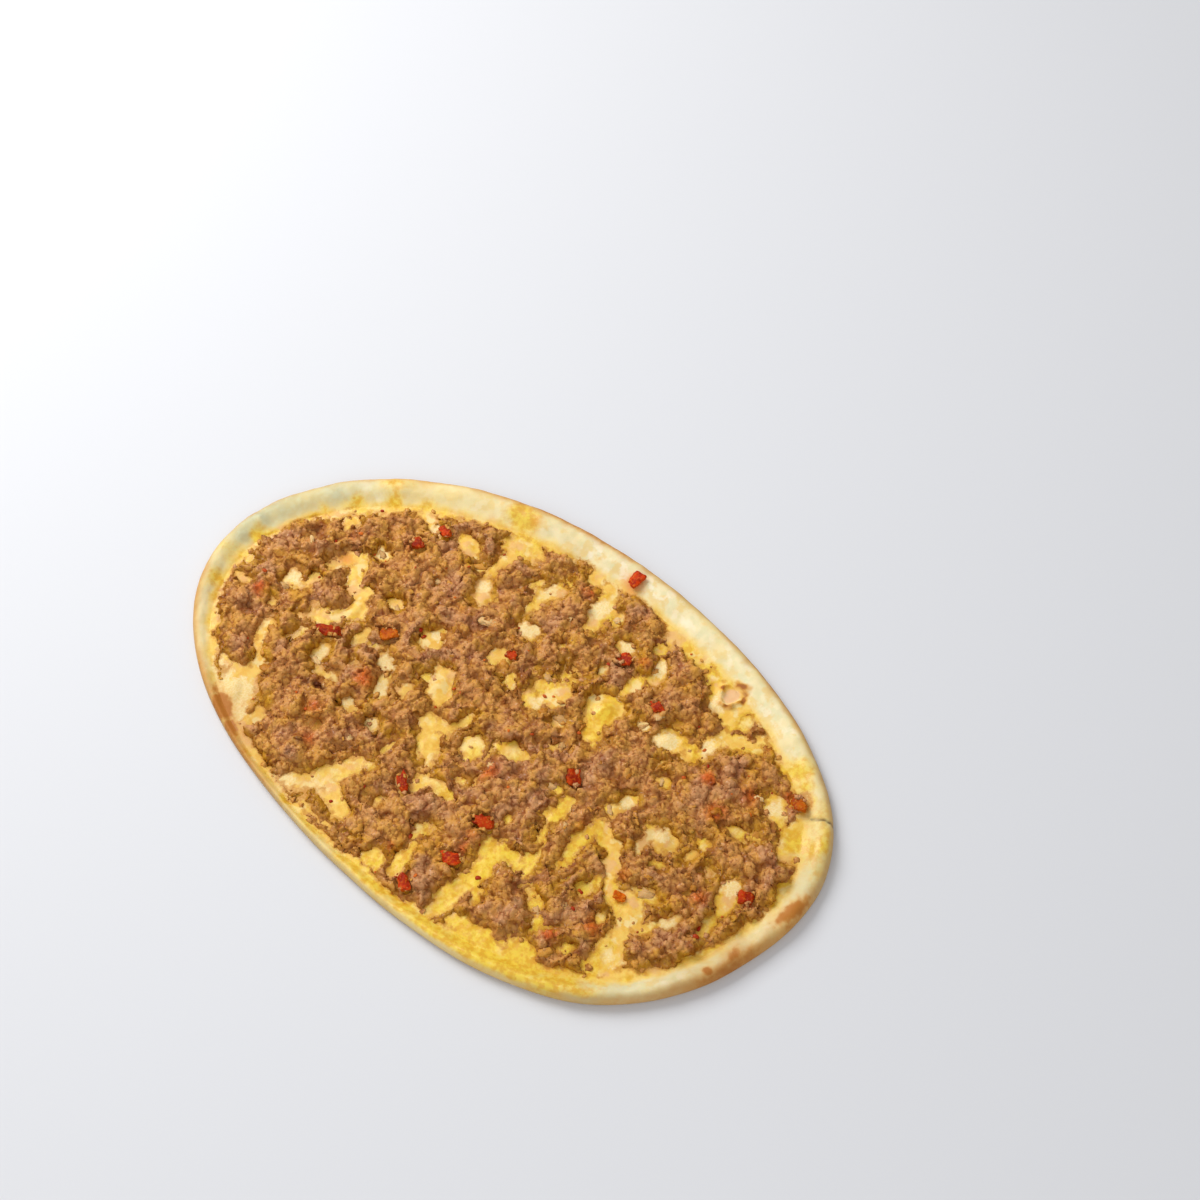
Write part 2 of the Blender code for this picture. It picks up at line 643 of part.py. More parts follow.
def make_nugget(index, spot, radius, rise, height, outline):
    # A crumb of mince, uneven all over, flat where it would meet the dough
    rng = random.Random(SEED * 100 + index)
    shape = bmesh.new()
    bmesh.ops.create_icosphere(shape, subdivisions=1, radius=1.0)
    squeeze = rng.uniform(NUGGET_SQUEEZE, 1.0)
    lowest = GAP + rng.uniform(*NUGGET_LIFT)
    spin = Matrix.Rotation(rng.uniform(0.0, 2.0 * math.pi), 3, "Z")
    offset = Vector((NUGGET_LAYER * index, 0.0, 0.0))
    for vert in shape.verts:
        way = vert.co * (1.0 + NUGGET_UNEVEN * noise.noise(vert.co * NUGGET_NOISE + offset))
        flat = spin @ Vector((way.x * radius, way.y * radius * squeeze, 0.0))
        dough = outline.top(spot.x + flat.x, spot.y + flat.y)
        level = max(FIELD + GAP + height + way.z * rise, dough + lowest)
        vert.co = Vector((spot.x + flat.x, spot.y + flat.y, level)) * MM
    return object_from(shape, "nugget_%03d" % index, None)


def make_mince(outline):
    plan = HeapPlan(outline)

    def in_heap(spot, radius):
        return mince_room(spot.x, spot.y, outline) > CLUMP_INSIDE * radius

    def on_heap(spot, radius):
        clear_of_dough = rising_room(spot.x, spot.y) > radius * NUGGET_REACH + GAP
        clear_of_pepper = all(
            (spot - Vector(pepper[:2])).length > radius + 0.5 * pepper[2] for pepper in PEPPERS
        )
        return in_heap(spot, radius) and clear_of_dough and clear_of_pepper

    clumps = scatter(CLUMP_SIZES, CLUMP_SPACING, in_heap, SEED)
    core = heap_core(plan, clumps)
    nuggets = []
    places = scatter(NUGGET_SIZES, NUGGET_SPACING, on_heap, SEED + 1)
    for index, (spot, radius, rise) in enumerate(places):
        height = heap_height(spot, plan.room(spot), clumps) - NUGGET_SUNK
        nuggets.append(make_nugget(index, spot, radius, rise, height, outline))
    fused = working_collection("nuggets", nuggets)
    boolean(core, "UNION", fused)
    beds = working_collection("beds", [
        make_bed(index, pepper) for index, pepper in enumerate(PEPPERS) if pepper[7] == "mince"
    ])
    boolean(core, "DIFFERENCE", beds)
    apply_and_tidy(core, [fused, beds])
    smooth(core)
    return core


def footprint(pepper, margin):
    # The corners of a piece seen from above, anticlockwise
    x, y, length, width, _, turn = pepper[:6]
    half_length, half_width = length / 2.0 + margin, width / 2.0 + margin
    corners = []
    for along, across in ((-1, -1), (1, -1), (1, 1), (-1, 1)):
        corners.append(turned_spot(x, y, along * half_length, across * half_width, turn))
    return corners


def pepper_bottom(pepper, outline):
    # Height of the middle of a piece's underside
    if pepper[7] == "mince":
        return FIELD + GAP + PEPPER_BED + GAP
    if pepper[7] == "field":
        return FIELD + GAP
    # On the rim's slope: just clear of the dough along the piece, which leans by a fixed slope
    x, y, length, _, _, turn = pepper[:6]
    slope = math.tan(math.radians(RIM_LEAN))
    levels = []
    for step in range(RIM_SPOTS + 1):
        along = length * (step / RIM_SPOTS - 0.5)
        levels.append(outline.top(*turned_spot(x, y, along, 0.0, turn)) - slope * along)
    return max(levels) + GAP


def make_bed(index, pepper):
    low = FIELD + GAP + PEPPER_BED
    corners = footprint(pepper, PEPPER_ROOM)
    return object_from(prism(corners, low, low + BED_HEIGHT), "bed_%02d" % (index + 1), None)


def make_pepper(index, pepper, outline):
    # A bevelled dice of pepper with uneven corners
    x, y, length, width, thickness, turn, colour, lies_on = pepper
    lean = -math.radians(RIM_LEAN) if lies_on == "rim" else 0.0
    rng = random.Random(SEED + index)
    shape = bmesh.new()
    bmesh.ops.create_cube(shape, size=1.0)
    for vert in shape.verts:
        taper = 1.0 - PEPPER_TAPER * rng.random()
        drop = PEPPER_DROP * rng.random() if vert.co.z > 0.0 else 0.0
        vert.co = Vector((
            vert.co.x * length * taper * MM, vert.co.y * width * taper * MM,
            (vert.co.z + 0.5 - drop) * thickness * MM,
        ))
    bmesh.ops.bevel(shape, geom=shape.edges, offset=PEPPER_BEVEL * MM, segments=1, affect="EDGES")
    bmesh.ops.triangulate(shape, faces=shape.faces)
    piece = object_from(shape, "pepper_%02d" % (index + 1), colour)
    piece.location = Vector((x, y, pepper_bottom(pepper, outline))) * MM
    piece.rotation_euler = (0.0, lean, math.radians(turn))
    return piece


def smooth(obj):
    obj.data.shade_smooth()
    obj.data.set_sharp_from_angle(angle=math.radians(SHARP_ANGLE))


def make_sfiha():
    clear_scene()
    outline = Outline()
    pieces = [make_bread(outline), make_mince(outline)]
    pieces += [make_pepper(index, pepper, outline) for index, pepper in enumerate(PEPPERS)]
    whole = bpy.data.objects.new("sfiha", None)
    bpy.context.scene.collection.objects.link(whole)
    for piece in pieces:
        piece.parent = whole


make_sfiha()
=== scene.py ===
import json
import math
import random
import time

import bmesh
import bpy
import numpy as np
from mathutils import Matrix, Vector, geometry, kdtree, noise
from mathutils.bvhtree import BVHTree

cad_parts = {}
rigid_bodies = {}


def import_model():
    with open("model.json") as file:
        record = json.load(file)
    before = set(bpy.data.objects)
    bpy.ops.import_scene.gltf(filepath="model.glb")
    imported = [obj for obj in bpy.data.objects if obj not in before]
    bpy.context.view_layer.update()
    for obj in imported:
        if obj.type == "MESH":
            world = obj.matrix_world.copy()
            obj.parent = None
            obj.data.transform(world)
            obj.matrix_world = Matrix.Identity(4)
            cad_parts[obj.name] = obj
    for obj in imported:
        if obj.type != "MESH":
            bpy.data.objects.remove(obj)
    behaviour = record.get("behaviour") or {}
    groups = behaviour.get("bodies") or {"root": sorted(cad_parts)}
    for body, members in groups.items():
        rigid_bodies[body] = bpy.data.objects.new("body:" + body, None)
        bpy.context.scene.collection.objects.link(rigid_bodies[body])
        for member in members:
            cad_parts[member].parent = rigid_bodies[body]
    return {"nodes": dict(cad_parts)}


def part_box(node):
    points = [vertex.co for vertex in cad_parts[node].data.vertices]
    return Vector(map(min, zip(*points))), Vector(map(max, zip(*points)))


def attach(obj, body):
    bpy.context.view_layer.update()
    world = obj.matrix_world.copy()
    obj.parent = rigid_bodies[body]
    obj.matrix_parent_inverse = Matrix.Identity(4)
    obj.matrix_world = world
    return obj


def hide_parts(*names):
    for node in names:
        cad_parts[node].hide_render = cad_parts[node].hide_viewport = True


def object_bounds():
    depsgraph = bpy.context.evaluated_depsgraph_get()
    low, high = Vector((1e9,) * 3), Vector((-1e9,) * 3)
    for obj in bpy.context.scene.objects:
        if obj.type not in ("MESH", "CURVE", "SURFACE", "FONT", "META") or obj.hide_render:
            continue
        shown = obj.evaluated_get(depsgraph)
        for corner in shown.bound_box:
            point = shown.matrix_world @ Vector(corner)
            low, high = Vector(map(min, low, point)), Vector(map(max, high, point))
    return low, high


started = time.time()
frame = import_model()
cadLow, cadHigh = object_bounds()
mm = 0.001
fullTurn = 6.283


def report(words):
    print("sfiha: %s, %.1f s" % (words, time.time() - started))


# the camera as in the photo, a plain pale floor and two soft lamps; places and sizes are in metres
studio = {
    "cameraPlace": (0.2767, -0.2502, 0.706), "cameraAim": (-0.3446, 0.3828, -0.8572),
    "lens": 61.35, "sensor": 36.0,
    "keyPlace": (-0.86, 0.10, 0.86), "keySize": 0.7, "keyPower": 13.0,
    "fillPlace": (0.55, -0.75, 0.9), "fillSize": 1.2, "fillPower": 4.6,
    "skyLevel": 0.44, "skyColour": (250, 250, 252),
    "floorHalf": 4.0, "floorColour": (217, 218, 221), "floorRoughness": 0.7,
}


def shade(red, green, blue):
    # a colour as read off a screen, turned into the light that the shader wants
    parts = [part / 255.0 for part in (red, green, blue)]
    parts = [part / 12.92 if part <= 0.04045 else ((part + 0.055) / 1.055) ** 2.4 for part in parts]
    return (*parts, 1.0)


class Wire:
    # a node's output; arithmetic on it adds Math nodes

    def __init__(self, graph, socket):
        self.graph = graph
        self.socket = socket

    def maths(self, operation, first, second=0.0):
        node = self.graph.add("ShaderNodeMath", {"operation": operation}, {0: first, 1: second})
        return Wire(self.graph, node.outputs[0])

    def __add__(self, other):
        return self.maths("ADD", self, other)

    def __radd__(self, other):
        return self.maths("ADD", other, self)

    def __sub__(self, other):
        return self.maths("SUBTRACT", self, other)

    def __rsub__(self, other):
        return self.maths("SUBTRACT", other, self)

    def __mul__(self, other):
        return self.maths("MULTIPLY", self, other)

    def __rmul__(self, other):
        return self.maths("MULTIPLY", other, self)

    def between(self, low, high):
        # 0 at low, 1 at high, smooth and held outside them
        node = self.graph.add("ShaderNodeMapRange", {"interpolation_type": "SMOOTHSTEP"}, {
            "Value": self, "From Min": low, "From Max": high, "To Min": 0.0, "To Max": 1.0,
        })
        return Wire(self.graph, node.outputs[0])


class Graph:
    # a node tree that is written down node by node

    def __init__(self, tree):
        self.tree = tree

    def add(self, kind, settings=None, values=None):
        node = self.tree.nodes.new(kind)
        for name, value in (settings or {}).items():
            if name == "stops":
                self.setStops(node.color_ramp, value)
            else:
                setattr(node, name, value)
        for name, value in (values or {}).items():
            if isinstance(value, Wire):
                self.tree.links.new(value.socket, node.inputs[name])
            else:
                node.inputs[name].default_value = value
        return node

    def setStops(self, ramp, stops):
        while len(ramp.elements) < len(stops):
            ramp.elements.new(1.0)
        for element, (place, colour) in zip(ramp.elements, stops):
            element.position = place
            element.color = colour

    def wire(self, node, name=0):
        return Wire(self, node.outputs[name])

    def attribute(self, name):
        return self.wire(self.add("ShaderNodeAttribute", {"attribute_name": name}), "Fac")

    def grain(self, scale, detail=2.0, roughness=0.5):
        # noise on the piece's own coordinates; scale is lumps per millimetre
        place = self.wire(self.add("ShaderNodeTexCoord"), "Object")
        node = self.add("ShaderNodeTexNoise", None, {
            "Vector": place, "Scale": scale / mm, "Detail": detail, "Roughness": roughness,
        })
        return self.wire(node)

    def cells(self, scale):
        # how far each place is from its cell's middle; scale is cells per millimetre
        place = self.wire(self.add("ShaderNodeTexCoord"), "Object")
        node = self.add("ShaderNodeTexVoronoi", {"feature": "F1"}, {"Vector": place, "Scale": scale / mm})
        return self.wire(node, "Distance")

    def blend(self, factor, first, second, mode="MIX"):
        node = self.add("ShaderNodeMix", {"data_type": "RGBA", "blend_type": mode}, {
            0: factor, 6: first, 7: second,
        })
        return self.wire(node, 2)

    def ramp(self, factor, stops):
        return self.wire(self.add("ShaderNodeValToRGB", {"stops": stops}, {"Fac": factor}), "Color")

    def bump(self, height, strength, distance):
        node = self.add("ShaderNodeBump", None, {
            "Height": height, "Strength": strength, "Distance": distance * mm,
        })
        return self.wire(node)


def newMaterial(name):
    # a material's graph and its main shader
    material = bpy.data.materials.new(name)
    material.use_nodes = True
    graph = Graph(material.node_tree)
    return material, graph, material.node_tree.nodes["Principled BSDF"]


def feed(graph, shader, name, wire):
    graph.tree.links.new(wire.socket, shader.inputs[name])


def soften(shader, weight, radius, scale, specular):
    # light that goes into food, and how strongly its surface shines
    shader.inputs["Subsurface Weight"].default_value = weight
    shader.inputs["Subsurface Radius"].default_value = radius
    shader.inputs["Subsurface Scale"].default_value = scale
    shader.inputs["Specular IOR Level"].default_value = specular


# camera, floor and lamps

def makeStudio():
    scene = bpy.context.scene
    scene.view_settings.view_transform = "Standard"
    camera = bpy.data.objects.new("camera", bpy.data.cameras.new("camera"))
    camera.location = studio["cameraPlace"]
    camera.rotation_euler = Vector(studio["cameraAim"]).to_track_quat("-Z", "Y").to_euler()
    camera.data.lens = studio["lens"]
    camera.data.sensor_width = studio["sensor"]
    scene.collection.objects.link(camera)
    scene.camera = camera

    floorMesh = bpy.data.meshes.new("floor")
    half = studio["floorHalf"]
    corners = [(-half, -half, 0.0), (half, -half, 0.0), (half, half, 0.0), (-half, half, 0.0)]
    floorMesh.from_pydata(corners, [], [(0, 1, 2, 3)])
    floor = bpy.data.objects.new("floor", floorMesh)
    scene.collection.objects.link(floor)
    floorMaterial, _, shader = newMaterial("paleFloor")
    shader.inputs["Base Color"].default_value = shade(*studio["floorColour"])
    shader.inputs["Roughness"].default_value = studio["floorRoughness"]
    floorMesh.materials.append(floorMaterial)

    for name in ("key", "fill"):
        lamp = bpy.data.lights.new(name + "Lamp", "AREA")
        lamp.size = studio[name + "Size"]
        lamp.energy = studio[name + "Power"]
        holder = bpy.data.objects.new(name + "Lamp", lamp)
        holder.location = studio[name + "Place"]
        holder.rotation_euler = (-Vector(studio[name + "Place"])).to_track_quat("-Z", "Y").to_euler()
        scene.collection.objects.link(holder)

    world = bpy.data.worlds.new("paleRoom")
    world.use_nodes = True
    sky = world.node_tree.nodes["Background"]
    sky.inputs["Color"].default_value = shade(*studio["skyColour"])
    sky.inputs["Strength"].default_value = studio["skyLevel"]
    scene.world = world


makeStudio()
report("camera, floor and lamps")


# shared helpers

def addPiece(name, mesh, nodes=()):
    # a finished mesh becomes a piece of the sfiha
    piece = bpy.data.objects.new(name, mesh)
    bpy.context.scene.collection.objects.link(piece)
    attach(piece, "root")
    if nodes:
        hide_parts(*nodes)
    print("sfiha: %s has %d triangles" % (name, sum(len(face.vertices) - 2 for face in mesh.polygons)))


def meshFrom(name, points, faces, material):
    mesh = bpy.data.meshes.new(name)
    mesh.from_pydata(points, [], faces)
    mesh.materials.append(material)
    mesh.shade_smooth()
    return mesh


def storeValues(mesh, name, values):
    layer = mesh.attributes.new(name, "FLOAT", "POINT")
    layer.data.foreach_set("value", np.asarray(values, np.float32))


def noiseAt(points, scale, layer):
    # noise in -1..1 at flat points in millimetres
    return np.array([noise.noise(Vector((x * scale, y * scale, layer))) for x, y in points])


def layeredNoise(points, *layers):
    # several noises added up, each with its strength, its bumps per millimetre and its layer
    return sum(strength * noiseAt(points, scale, layer) for strength, scale, layer in layers)


def smoothStep(values, low, high):
    share = np.clip((values - low) / (high - low), 0.0, 1.0)
    return share * share * (3.0 - 2.0 * share)


def swell(angle, middle, spread):
    # 1 at an angle in degrees, fading on both sides
    away = (angle - middle + 180.0) % 360.0 - 180.0
    return np.exp(-((away / spread) ** 2))


def mergedCopy(name):
    # a CAD node's mesh with its loose triangles joined
    shape = bmesh.new()
    shape.from_mesh(frame["nodes"][name].data)
    bmesh.ops.remove_doubles(shape, verts=shape.verts, dist=0.00001)
    mesh = bpy.data.meshes.new(name + "Copy")
    shape.to_mesh(mesh)
    shape.free()
    mesh.materials.clear()
    return mesh


def plainMesh(obj, name):
    # what an object's modifiers make of it, as a plain mesh; the object goes
    evaluated = obj.evaluated_get(bpy.context.evaluated_depsgraph_get())
    mesh = bpy.data.meshes.new_from_object(evaluated)
    mesh.name = name
    bpy.data.objects.remove(obj, do_unlink=True)
    return mesh


# where the mince lies, in millimetres, with its small bare places and ragged edge

heapLook = {
    "mapStep": 0.5, "overhang": 1.2, "pullBack": 0.4, "biteGrows": 1.17, "moundDepth": 2.5,
    "fillRounds": 24, "softenRounds": 2, "plainHeight": 6.0,
    # strength, bumps per millimetre and layer of each noise
    "wavy": ((1.3, 0.09, 29.0),), "ragged": ((1.0, 0.22, 31.0), (0.8, 0.5, 37.0)),
    "bend": ((2.0, 0.15, 3.0), (1.5, 0.42, 8.0), (0.9, 0.95, 13.0)), "bendShift": 1.7,
    # x, y, half length, half width and turn of each small bare place
    "bites": (
        # left end
        (-82, 51, 8, 2.6, 32), (-100, 38, 8, 2.6, 52), (-105, 24, 2.4, 3.2, -30), (-112, 24, 5, 2, 62),
        (-86.5, 21, 2.6, 2.4, 0), (-107, 21, 2.2, 1.5, -40), (-85, 20, 2.6, 3.2, 20),
        (-104, -11, 5, 2.2, -25), (-124, -16, 3.2, 2.2, 20), (-83, -16, 4, 2.2, 30),
        (-89, -21, 1.6, 1.1, 20), (-104, -24, 1.8, 1.6, 0), (-120, -25, 3.4, 2, 35),
        (-84, -29, 2.2, 3.2, 0), (-95, -36, 1.6, 2.6, 0), (-97, -56, 4, 2, -50),
        # left
        (-45, 61, 9, 4, 8), (-68, 61, 6, 2.2, 24), (-50, 58, 1.8, 4, 0), (-48, 46, 1.8, 5, 0),
        (-76, 43, 3.5, 1.6, 10), (-52, 42, 2.6, 2, 20), (-44.5, 34.5, 5, 2.2, -55), (-75, 31, 1.6, 1.4, 0),
        (-60, 26, 1.6, 2.2, 0), (-66, 7.5, 2.4, 2.2, 0), (-42, 6, 4.5, 4, 80), (-78, 3, 2.2, 1.8, 0),
        (-76, -7, 6, 2.4, 50), (-58, -12, 2.2, 1.4, 30), (-58, -22, 2, 1.4, 30), (-70, -66, 3, 6, 0),
        # left of the middle
        (-6, 69, 5, 2.2, 25), (-20, 61, 2.2, 1.8, 0), (-30, 52, 1.2, 4.6, -30), (-24, 52, 5, 1.8, 20),
        (-23, 43, 1.8, 5.5, -5), (-3, 38, 1.6, 1.5, 0), (-18, 34.5, 4, 2.4, 10), (-18, 17, 5, 3, 20),
        (-7, 12.5, 2.8, 1.7, -10), (-6, 12.5, 3.5, 2, -20), (-40, 5, 1.7, 1.5, 0), (-29.5, -4, 4, 2.2, -30),
        (-33, -9, 2.4, 1.5, 30), (-13, -20, 6, 2.2, -10), (-5, -30, 1.8, 1.2, -50), (-14, -31, 6, 1.8, -50),
        (-22, -40, 1.4, 2.8, 0), (-3, -42, 2.4, 5, 0), (-9.5, -58, 1.8, 1.8, 0), (-34, -65, 2.2, 7.5, -20),
        (-24, -72, 8, 2, -15), (-20, -77, 13, 2.2, -2),
        # right of the middle
        (28, 68, 4, 1.8, -40), (6, 62, 2.2, 3.6, 10), (28, 62, 3, 2.2, 30), (17, 54, 4, 2.2, -10),
        (35, 52, 4, 1.8, -50), (16.5, 41, 1.9, 2.6, 0), (17, 41, 0.9, 2.6, 35), (28.5, 33, 5, 2.4, 10),
        (7.5, 29, 4.5, 1.4, -60), (10, 26, 0.9, 5, -38), (2.5, 23.5, 2.4, 1.2, -10), (4, 20, 3.2, 3, 0),
        (30, 18, 5.5, 2.4, -45), (19, 12, 2.6, 2.6, 0), (27, 5, 2.4, 1.8, 20), (25, 2, 1.6, 1.4, 0),
        (37.5, -9, 2.2, 1.8, 0), (2, -23.5, 2, 1.5, 0), (9, -31, 2, 1.6, 0), (33, -31, 1.4, 2.6, 15),
        (35, -45, 2, 6, 0), (13, -57, 1.1, 3.6, -12), (37, -62, 2, 5.5, 0),
        # right
        (51, 66, 3.5, 3, 0), (73, 60, 3.4, 2.4, 20), (69.5, 55.5, 2.4, 3.6, 0), (77, 49, 6.5, 1.8, 25),
        (52, 36.5, 1.6, 1.2, 0), (65, 36, 4.5, 2.2, 20), (66, 33.5, 2.6, 1.4, 30), (45, 32, 2.6, 2.2, 0),
        (60.5, 24, 1, 2.2, 0), (67, 19, 2.2, 2, 0), (66, 19, 1.8, 1.3, 0), (77, 2, 4, 2, 20),
        (59, -3, 2.6, 1.3, -40), (77, -5, 1.8, 4.5, 10), (45, -10, 3.2, 1.6, 25), (59.5, -14, 2, 5.5, 15),
        (58, -18, 1.7, 4.5, 0), (44, -20, 1.1, 3.4, 25), (44, -21, 6, 1.5, -60), (47.5, -27, 1, 4.2, 30),
        (47, -28, 1.4, 3.4, -10), (74, -31, 1.7, 4.5, 0), (73, -31.5, 1.7, 4, 5), (73, -33, 2.2, 2.2, 0),
        (65.5, -33, 0.9, 3, 0), (62.5, -48.5, 4.4, 2.2, -5), (71.5, -56, 0.9, 4, -30),
        (45, -61.5, 3.5, 2, -45),
        # right end
        (82.5, 57, 1.6, 4.4, -10), (105, 40, 5.5, 2.4, -25), (122, 27, 4, 2, 0), (106, 26, 2, 1.8, 0),
        (107, 25, 3, 1.2, 20), (101, 22, 3.2, 2.2, 10), (100, 22, 3.6, 1.9, 5), (94, 11, 2.6, 1.4, 30),
        (94, 3.5, 1.8, 3.5, -20), (103, 2, 1.6, 2.4, 0), (87, -7, 1.7, 1.7, 0), (92, -20, 3.4, 2, 25),
        (81, -26, 5.5, 3.5, -40), (101, -28, 1.8, 5.5, -20), (85, -38, 1.4, 2.4, 0), (93, -45, 1.7, 5.5, 0),
        (84, -55, 2.6, 1.8, 50),
    ),
    # the same for places where mince lies beyond the CAD's
    "mounds": (
        (110.5, 48, 4.2, 3.8, -30), (-21, 72, 4, 2.2, 10), (-33.5, -78, 3.2, 1.7, 55),
        (-25, -75.2, 7, 1.9, -3), (-13, -77.4, 6.5, 1.9, -12),
    ),
}


def ellipseShare(points, x, y, halfLength, halfWidth, turn):
    # 0 in an ellipse's middle, 1 on its edge
    angle = math.radians(turn)
    away = points - np.array([x, y])
    along = away[:, 0] * math.cos(angle) + away[:, 1] * math.sin(angle)
    across = away[:, 1] * math.cos(angle) - away[:, 0] * math.sin(angle)
    return np.hypot(along / halfLength, across / halfWidth)


class MinceMap:
    # the mince's height and the distance from its edge, on a grid over the bread

    def __init__(self):
        look = heapLook
        self.step = look["mapStep"]
        self.low = np.array([cadLow.x, cadLow.y]) / mm
        counts = [int((cadHigh[axis] - cadLow[axis]) / mm / self.step) + 1 for axis in (0, 1)]
        grid = np.stack(np.meshgrid(np.arange(counts[0]), np.arange(counts[1]), indexing="ij"), 2)
        spots = grid.reshape(-1, 2) * self.step + self.low
        heights = self.heightsUnder(spots).reshape(counts)
        room, dips = self.edgeDistance(spots, self.borderDistance(~np.isnan(heights), grid), counts)
        self.room, self.dips = room, dips
        self.heights = self.soften(self.filled(heights, look["fillRounds"]), look["softenRounds"])

    def heightsUnder(self, spots):
        # the height of the CAD's mince at flat points, by rays from above
        mesh = mergedCopy("mince")
        corners = [vert.co for vert in mesh.vertices]
        tree = BVHTree.FromPolygons(corners, [face.vertices for face in mesh.polygons])
        down = Vector((0.0, 0.0, -1.0))
        hits = [tree.ray_cast(Vector((x * mm, y * mm, 0.05)), down)[0] for x, y in spots]
        return np.array([hit.z / mm if hit else np.nan for hit in hits])

    def borderDistance(self, covered, grid):
        # distance of each grid point from the CAD mince's border, negative inside it
        border = np.zeros_like(covered)
        border[:-1] |= covered[:-1] != covered[1:]
        border[:, :-1] |= covered[:, :-1] != covered[:, 1:]
        marks = np.argwhere(border)
        near = kdtree.KDTree(len(marks))
        for index, (column, row) in enumerate(marks):
            near.insert((column + 0.5, row + 0.5, 0.0), index)
        near.balance()
        away = [near.find((column, row, 0.0))[2] * self.step for column, row in grid.reshape(-1, 2)]
        return np.where(covered.ravel(), -np.array(away), away)

    def edgeDistance(self, spots, room, counts):
        # the same with the bare places, the mounds and the ragged edge, and how near each bare place is
        look = heapLook
        furthest = room - look["overhang"]
        room += look["pullBack"] + layeredNoise(spots, *look["wavy"])
        dips = np.full(len(spots), 99.0)
        for x, y, halfLength, halfWidth, turn in look["bites"]:
            share = ellipseShare(spots, x, y, halfLength, halfWidth, turn)
            room = np.maximum(room, (look["biteGrows"] - share) * min(halfLength, halfWidth))
            dips = np.minimum(dips, (share - 1.0) * min(halfLength, halfWidth))
        for x, y, halfLength, halfWidth, turn in look["mounds"]:
            share = ellipseShare(spots, x, y, halfLength, halfWidth, turn)
            inwards = (share - 1.0) * min(halfLength, halfWidth)
            room = np.minimum(room, np.maximum(inwards, -look["moundDepth"]))
            furthest = np.minimum(furthest, room)
        room += layeredNoise(spots, *look["ragged"])
        bent = spots.copy()
        for reach, fineness, layer in look["bend"]:
            bent[:, 0] += reach * noiseAt(spots, fineness, layer)
            bent[:, 1] += reach * noiseAt(spots, fineness, layer + look["bendShift"])
        room = self.read(room.reshape(counts), bent)
        dips = self.read(dips.reshape(counts), bent)
        return np.maximum(room, furthest).reshape(counts), dips.reshape(counts)

    def filled(self, table, rounds):
        # gaps take the mean of the known cells beside them, ring after ring
        table = table.copy()
        for _ in range(rounds):
            known = ~np.isnan(table)
            values = np.where(known, table, 0.0)
            total, count = np.zeros_like(values), np.zeros_like(values)
            for axis in (0, 1):
                for shift in (-1, 1):
                    total += np.roll(values, shift, axis)
                    count += np.roll(known, shift, axis)
            table = np.where(known, table, np.where(count > 0, total / np.maximum(count, 1), np.nan))
        return np.where(np.isnan(table), heapLook["plainHeight"], table)

    def soften(self, table, rounds):
        # each cell takes the mean of itself and its four neighbours
        for _ in range(rounds):
            table = (table + sum(np.roll(table, shift, axis) for axis in (0, 1) for shift in (-1, 1))) / 5.0
        return table

    def read(self, table, points):
        # a table's values at flat points, blended between its four nearest cells
        place = (np.asarray(points) - self.low) / self.step
        place = np.clip(place, 0.0, np.array(table.shape) - 1.001)
        cell = place.astype(int)
        part = place - cell
        i, j = cell[:, 0], cell[:, 1]
        lower = table[i, j] * (1.0 - part[:, 0]) + table[i + 1, j] * part[:, 0]
        upper = table[i, j + 1] * (1.0 - part[:, 0]) + table[i + 1, j + 1] * part[:, 0]
        return lower * (1.0 - part[:, 1]) + upper * part[:, 1]

    def away(self, points):
        # distance from the mince; negative inside it
        return self.read(self.room, points)


minceMap = MinceMap()
report("mince outline read")


# bread

